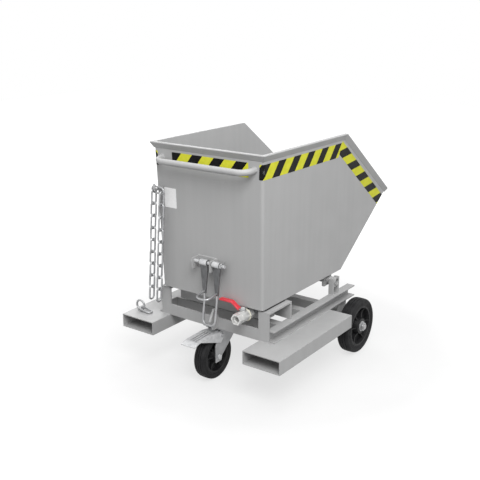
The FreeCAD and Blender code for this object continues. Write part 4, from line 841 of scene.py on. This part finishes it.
def add_sleeve_bands():
    """Bright bands round the sleeves at the top of the catch's arms."""
    arm_low, arm_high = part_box("catch_arms")
    pin_low, pin_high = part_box("catch_pin")
    outside = SLEEVE_RADIUS + SLEEVE_BAND
    outline = [
        (-SLEEVE_HALF, SLEEVE_RADIUS),
        (-SLEEVE_HALF, outside),
        (SLEEVE_HALF, outside),
        (SLEEVE_HALF, SLEEVE_RADIUS),
    ]
    shape = bmesh.new()
    for along in (arm_low.x + ARM_HALF, arm_high.x - ARM_HALF):
        middle = (pin_low + pin_high) / 2
        middle.x = along
        turn(shape, outline, middle, ACROSS)
    add_piece("sleeve_bands", shape, "catch", "pale_zinc")


def add_valve_seal():
    """The pale seal between the two halves of the valve's body."""
    low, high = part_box("valve_body")
    nipple_low, nipple_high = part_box("drain_nipple")
    middle = (nipple_low + nipple_high) / 2
    middle.y = low.y + (high.y - low.y) * SEAL_PLACE_SHARE
    outline = []
    for step in range(RING_STEPS):
        angle = FULL_TURN * step / RING_STEPS
        outline.append((math.cos(angle) * SEAL_HALF, SEAL_RADIUS + math.sin(angle) * SEAL_HALF))
    shape = bmesh.new()
    turn(shape, outline, middle, FORWARD)
    add_piece("valve_seal", shape, "skip", "valve_seal")


def add_surround():
    """White to look at and in reflections, and a soft light from all round."""
    world = bpy.data.worlds.new("surround")
    bpy.context.scene.world = world
    world.use_nodes = True
    nodes = world.node_tree.nodes
    links = world.node_tree.links
    nodes.clear()
    path = nodes.new("ShaderNodeLightPath")
    seen = path.outputs["Is Camera Ray"]
    for name in ("Is Glossy Ray", "Is Transmission Ray"):
        either = nodes.new("ShaderNodeMath")
        either.operation = "MAXIMUM"
        links.new(seen, either.inputs[0])
        links.new(path.outputs[name], either.inputs[1])
        seen = either.outputs["Value"]
    mix = nodes.new("ShaderNodeMixShader")
    links.new(seen, mix.inputs["Fac"])
    for socket, strength in ((mix.inputs[1], AMBIENT), (mix.inputs[2], 1.0)):
        shader = nodes.new("ShaderNodeBackground")
        shader.inputs["Color"].default_value = (*WHITE, 1.0)
        shader.inputs["Strength"].default_value = strength
        links.new(shader.outputs["Background"], socket)
    output = nodes.new("ShaderNodeOutputWorld")
    links.new(mix.outputs["Shader"], output.inputs["Surface"])


def add_lamps():
    """Large soft lamps, each at its share of the light that shows white as white."""
    for name, (heading, distance, size, level) in LAMPS.items():
        lamp = bpy.data.lights.new(name, "AREA")
        lamp.shape = "DISK"
        lamp.size = size
        lamp.energy = level * math.pi ** 2 * distance ** 2
        holder = bpy.data.objects.new(name, lamp)
        holder.location = CAMERA_TARGET + Vector(heading).normalized() * distance
        holder.rotation_euler = Vector(heading).to_track_quat("Z", "Y").to_euler()
        bpy.context.scene.collection.objects.link(holder)


def add_camera():
    """The camera, at the photograph's place."""
    view = bpy.data.cameras.new("view")
    view.lens = CAMERA_LENS
    view.sensor_width = CAMERA_SENSOR
    view.shift_x, view.shift_y = CAMERA_SHIFT
    camera = bpy.data.objects.new("view", view)
    camera.location = CAMERA_PLACE
    camera.rotation_euler = (CAMERA_TARGET - CAMERA_PLACE).to_track_quat("-Z", "Y").to_euler()
    bpy.context.scene.collection.objects.link(camera)
    bpy.context.scene.camera = camera


def add_stage():
    """The pale floor, the white surround, the lamps and the camera."""
    bpy.ops.mesh.primitive_plane_add(size=2 * FLOOR_HALF, location=(0, 0, -FLOOR_DROP))
    floor = bpy.context.object
    floor.name = "stage_floor"
    floor.data.materials.append(floor_material())
    add_surround()
    add_lamps()
    add_camera()
    bpy.context.scene.view_settings.view_transform = "Standard"


dress_solids()
add_back_tape()
add_side_tapes()
add_label()
add_skip_welds()
add_frame_welds()
add_wheels()
add_pedal_ribs()
add_sleeve_bands()
add_valve_seal()
add_stage()
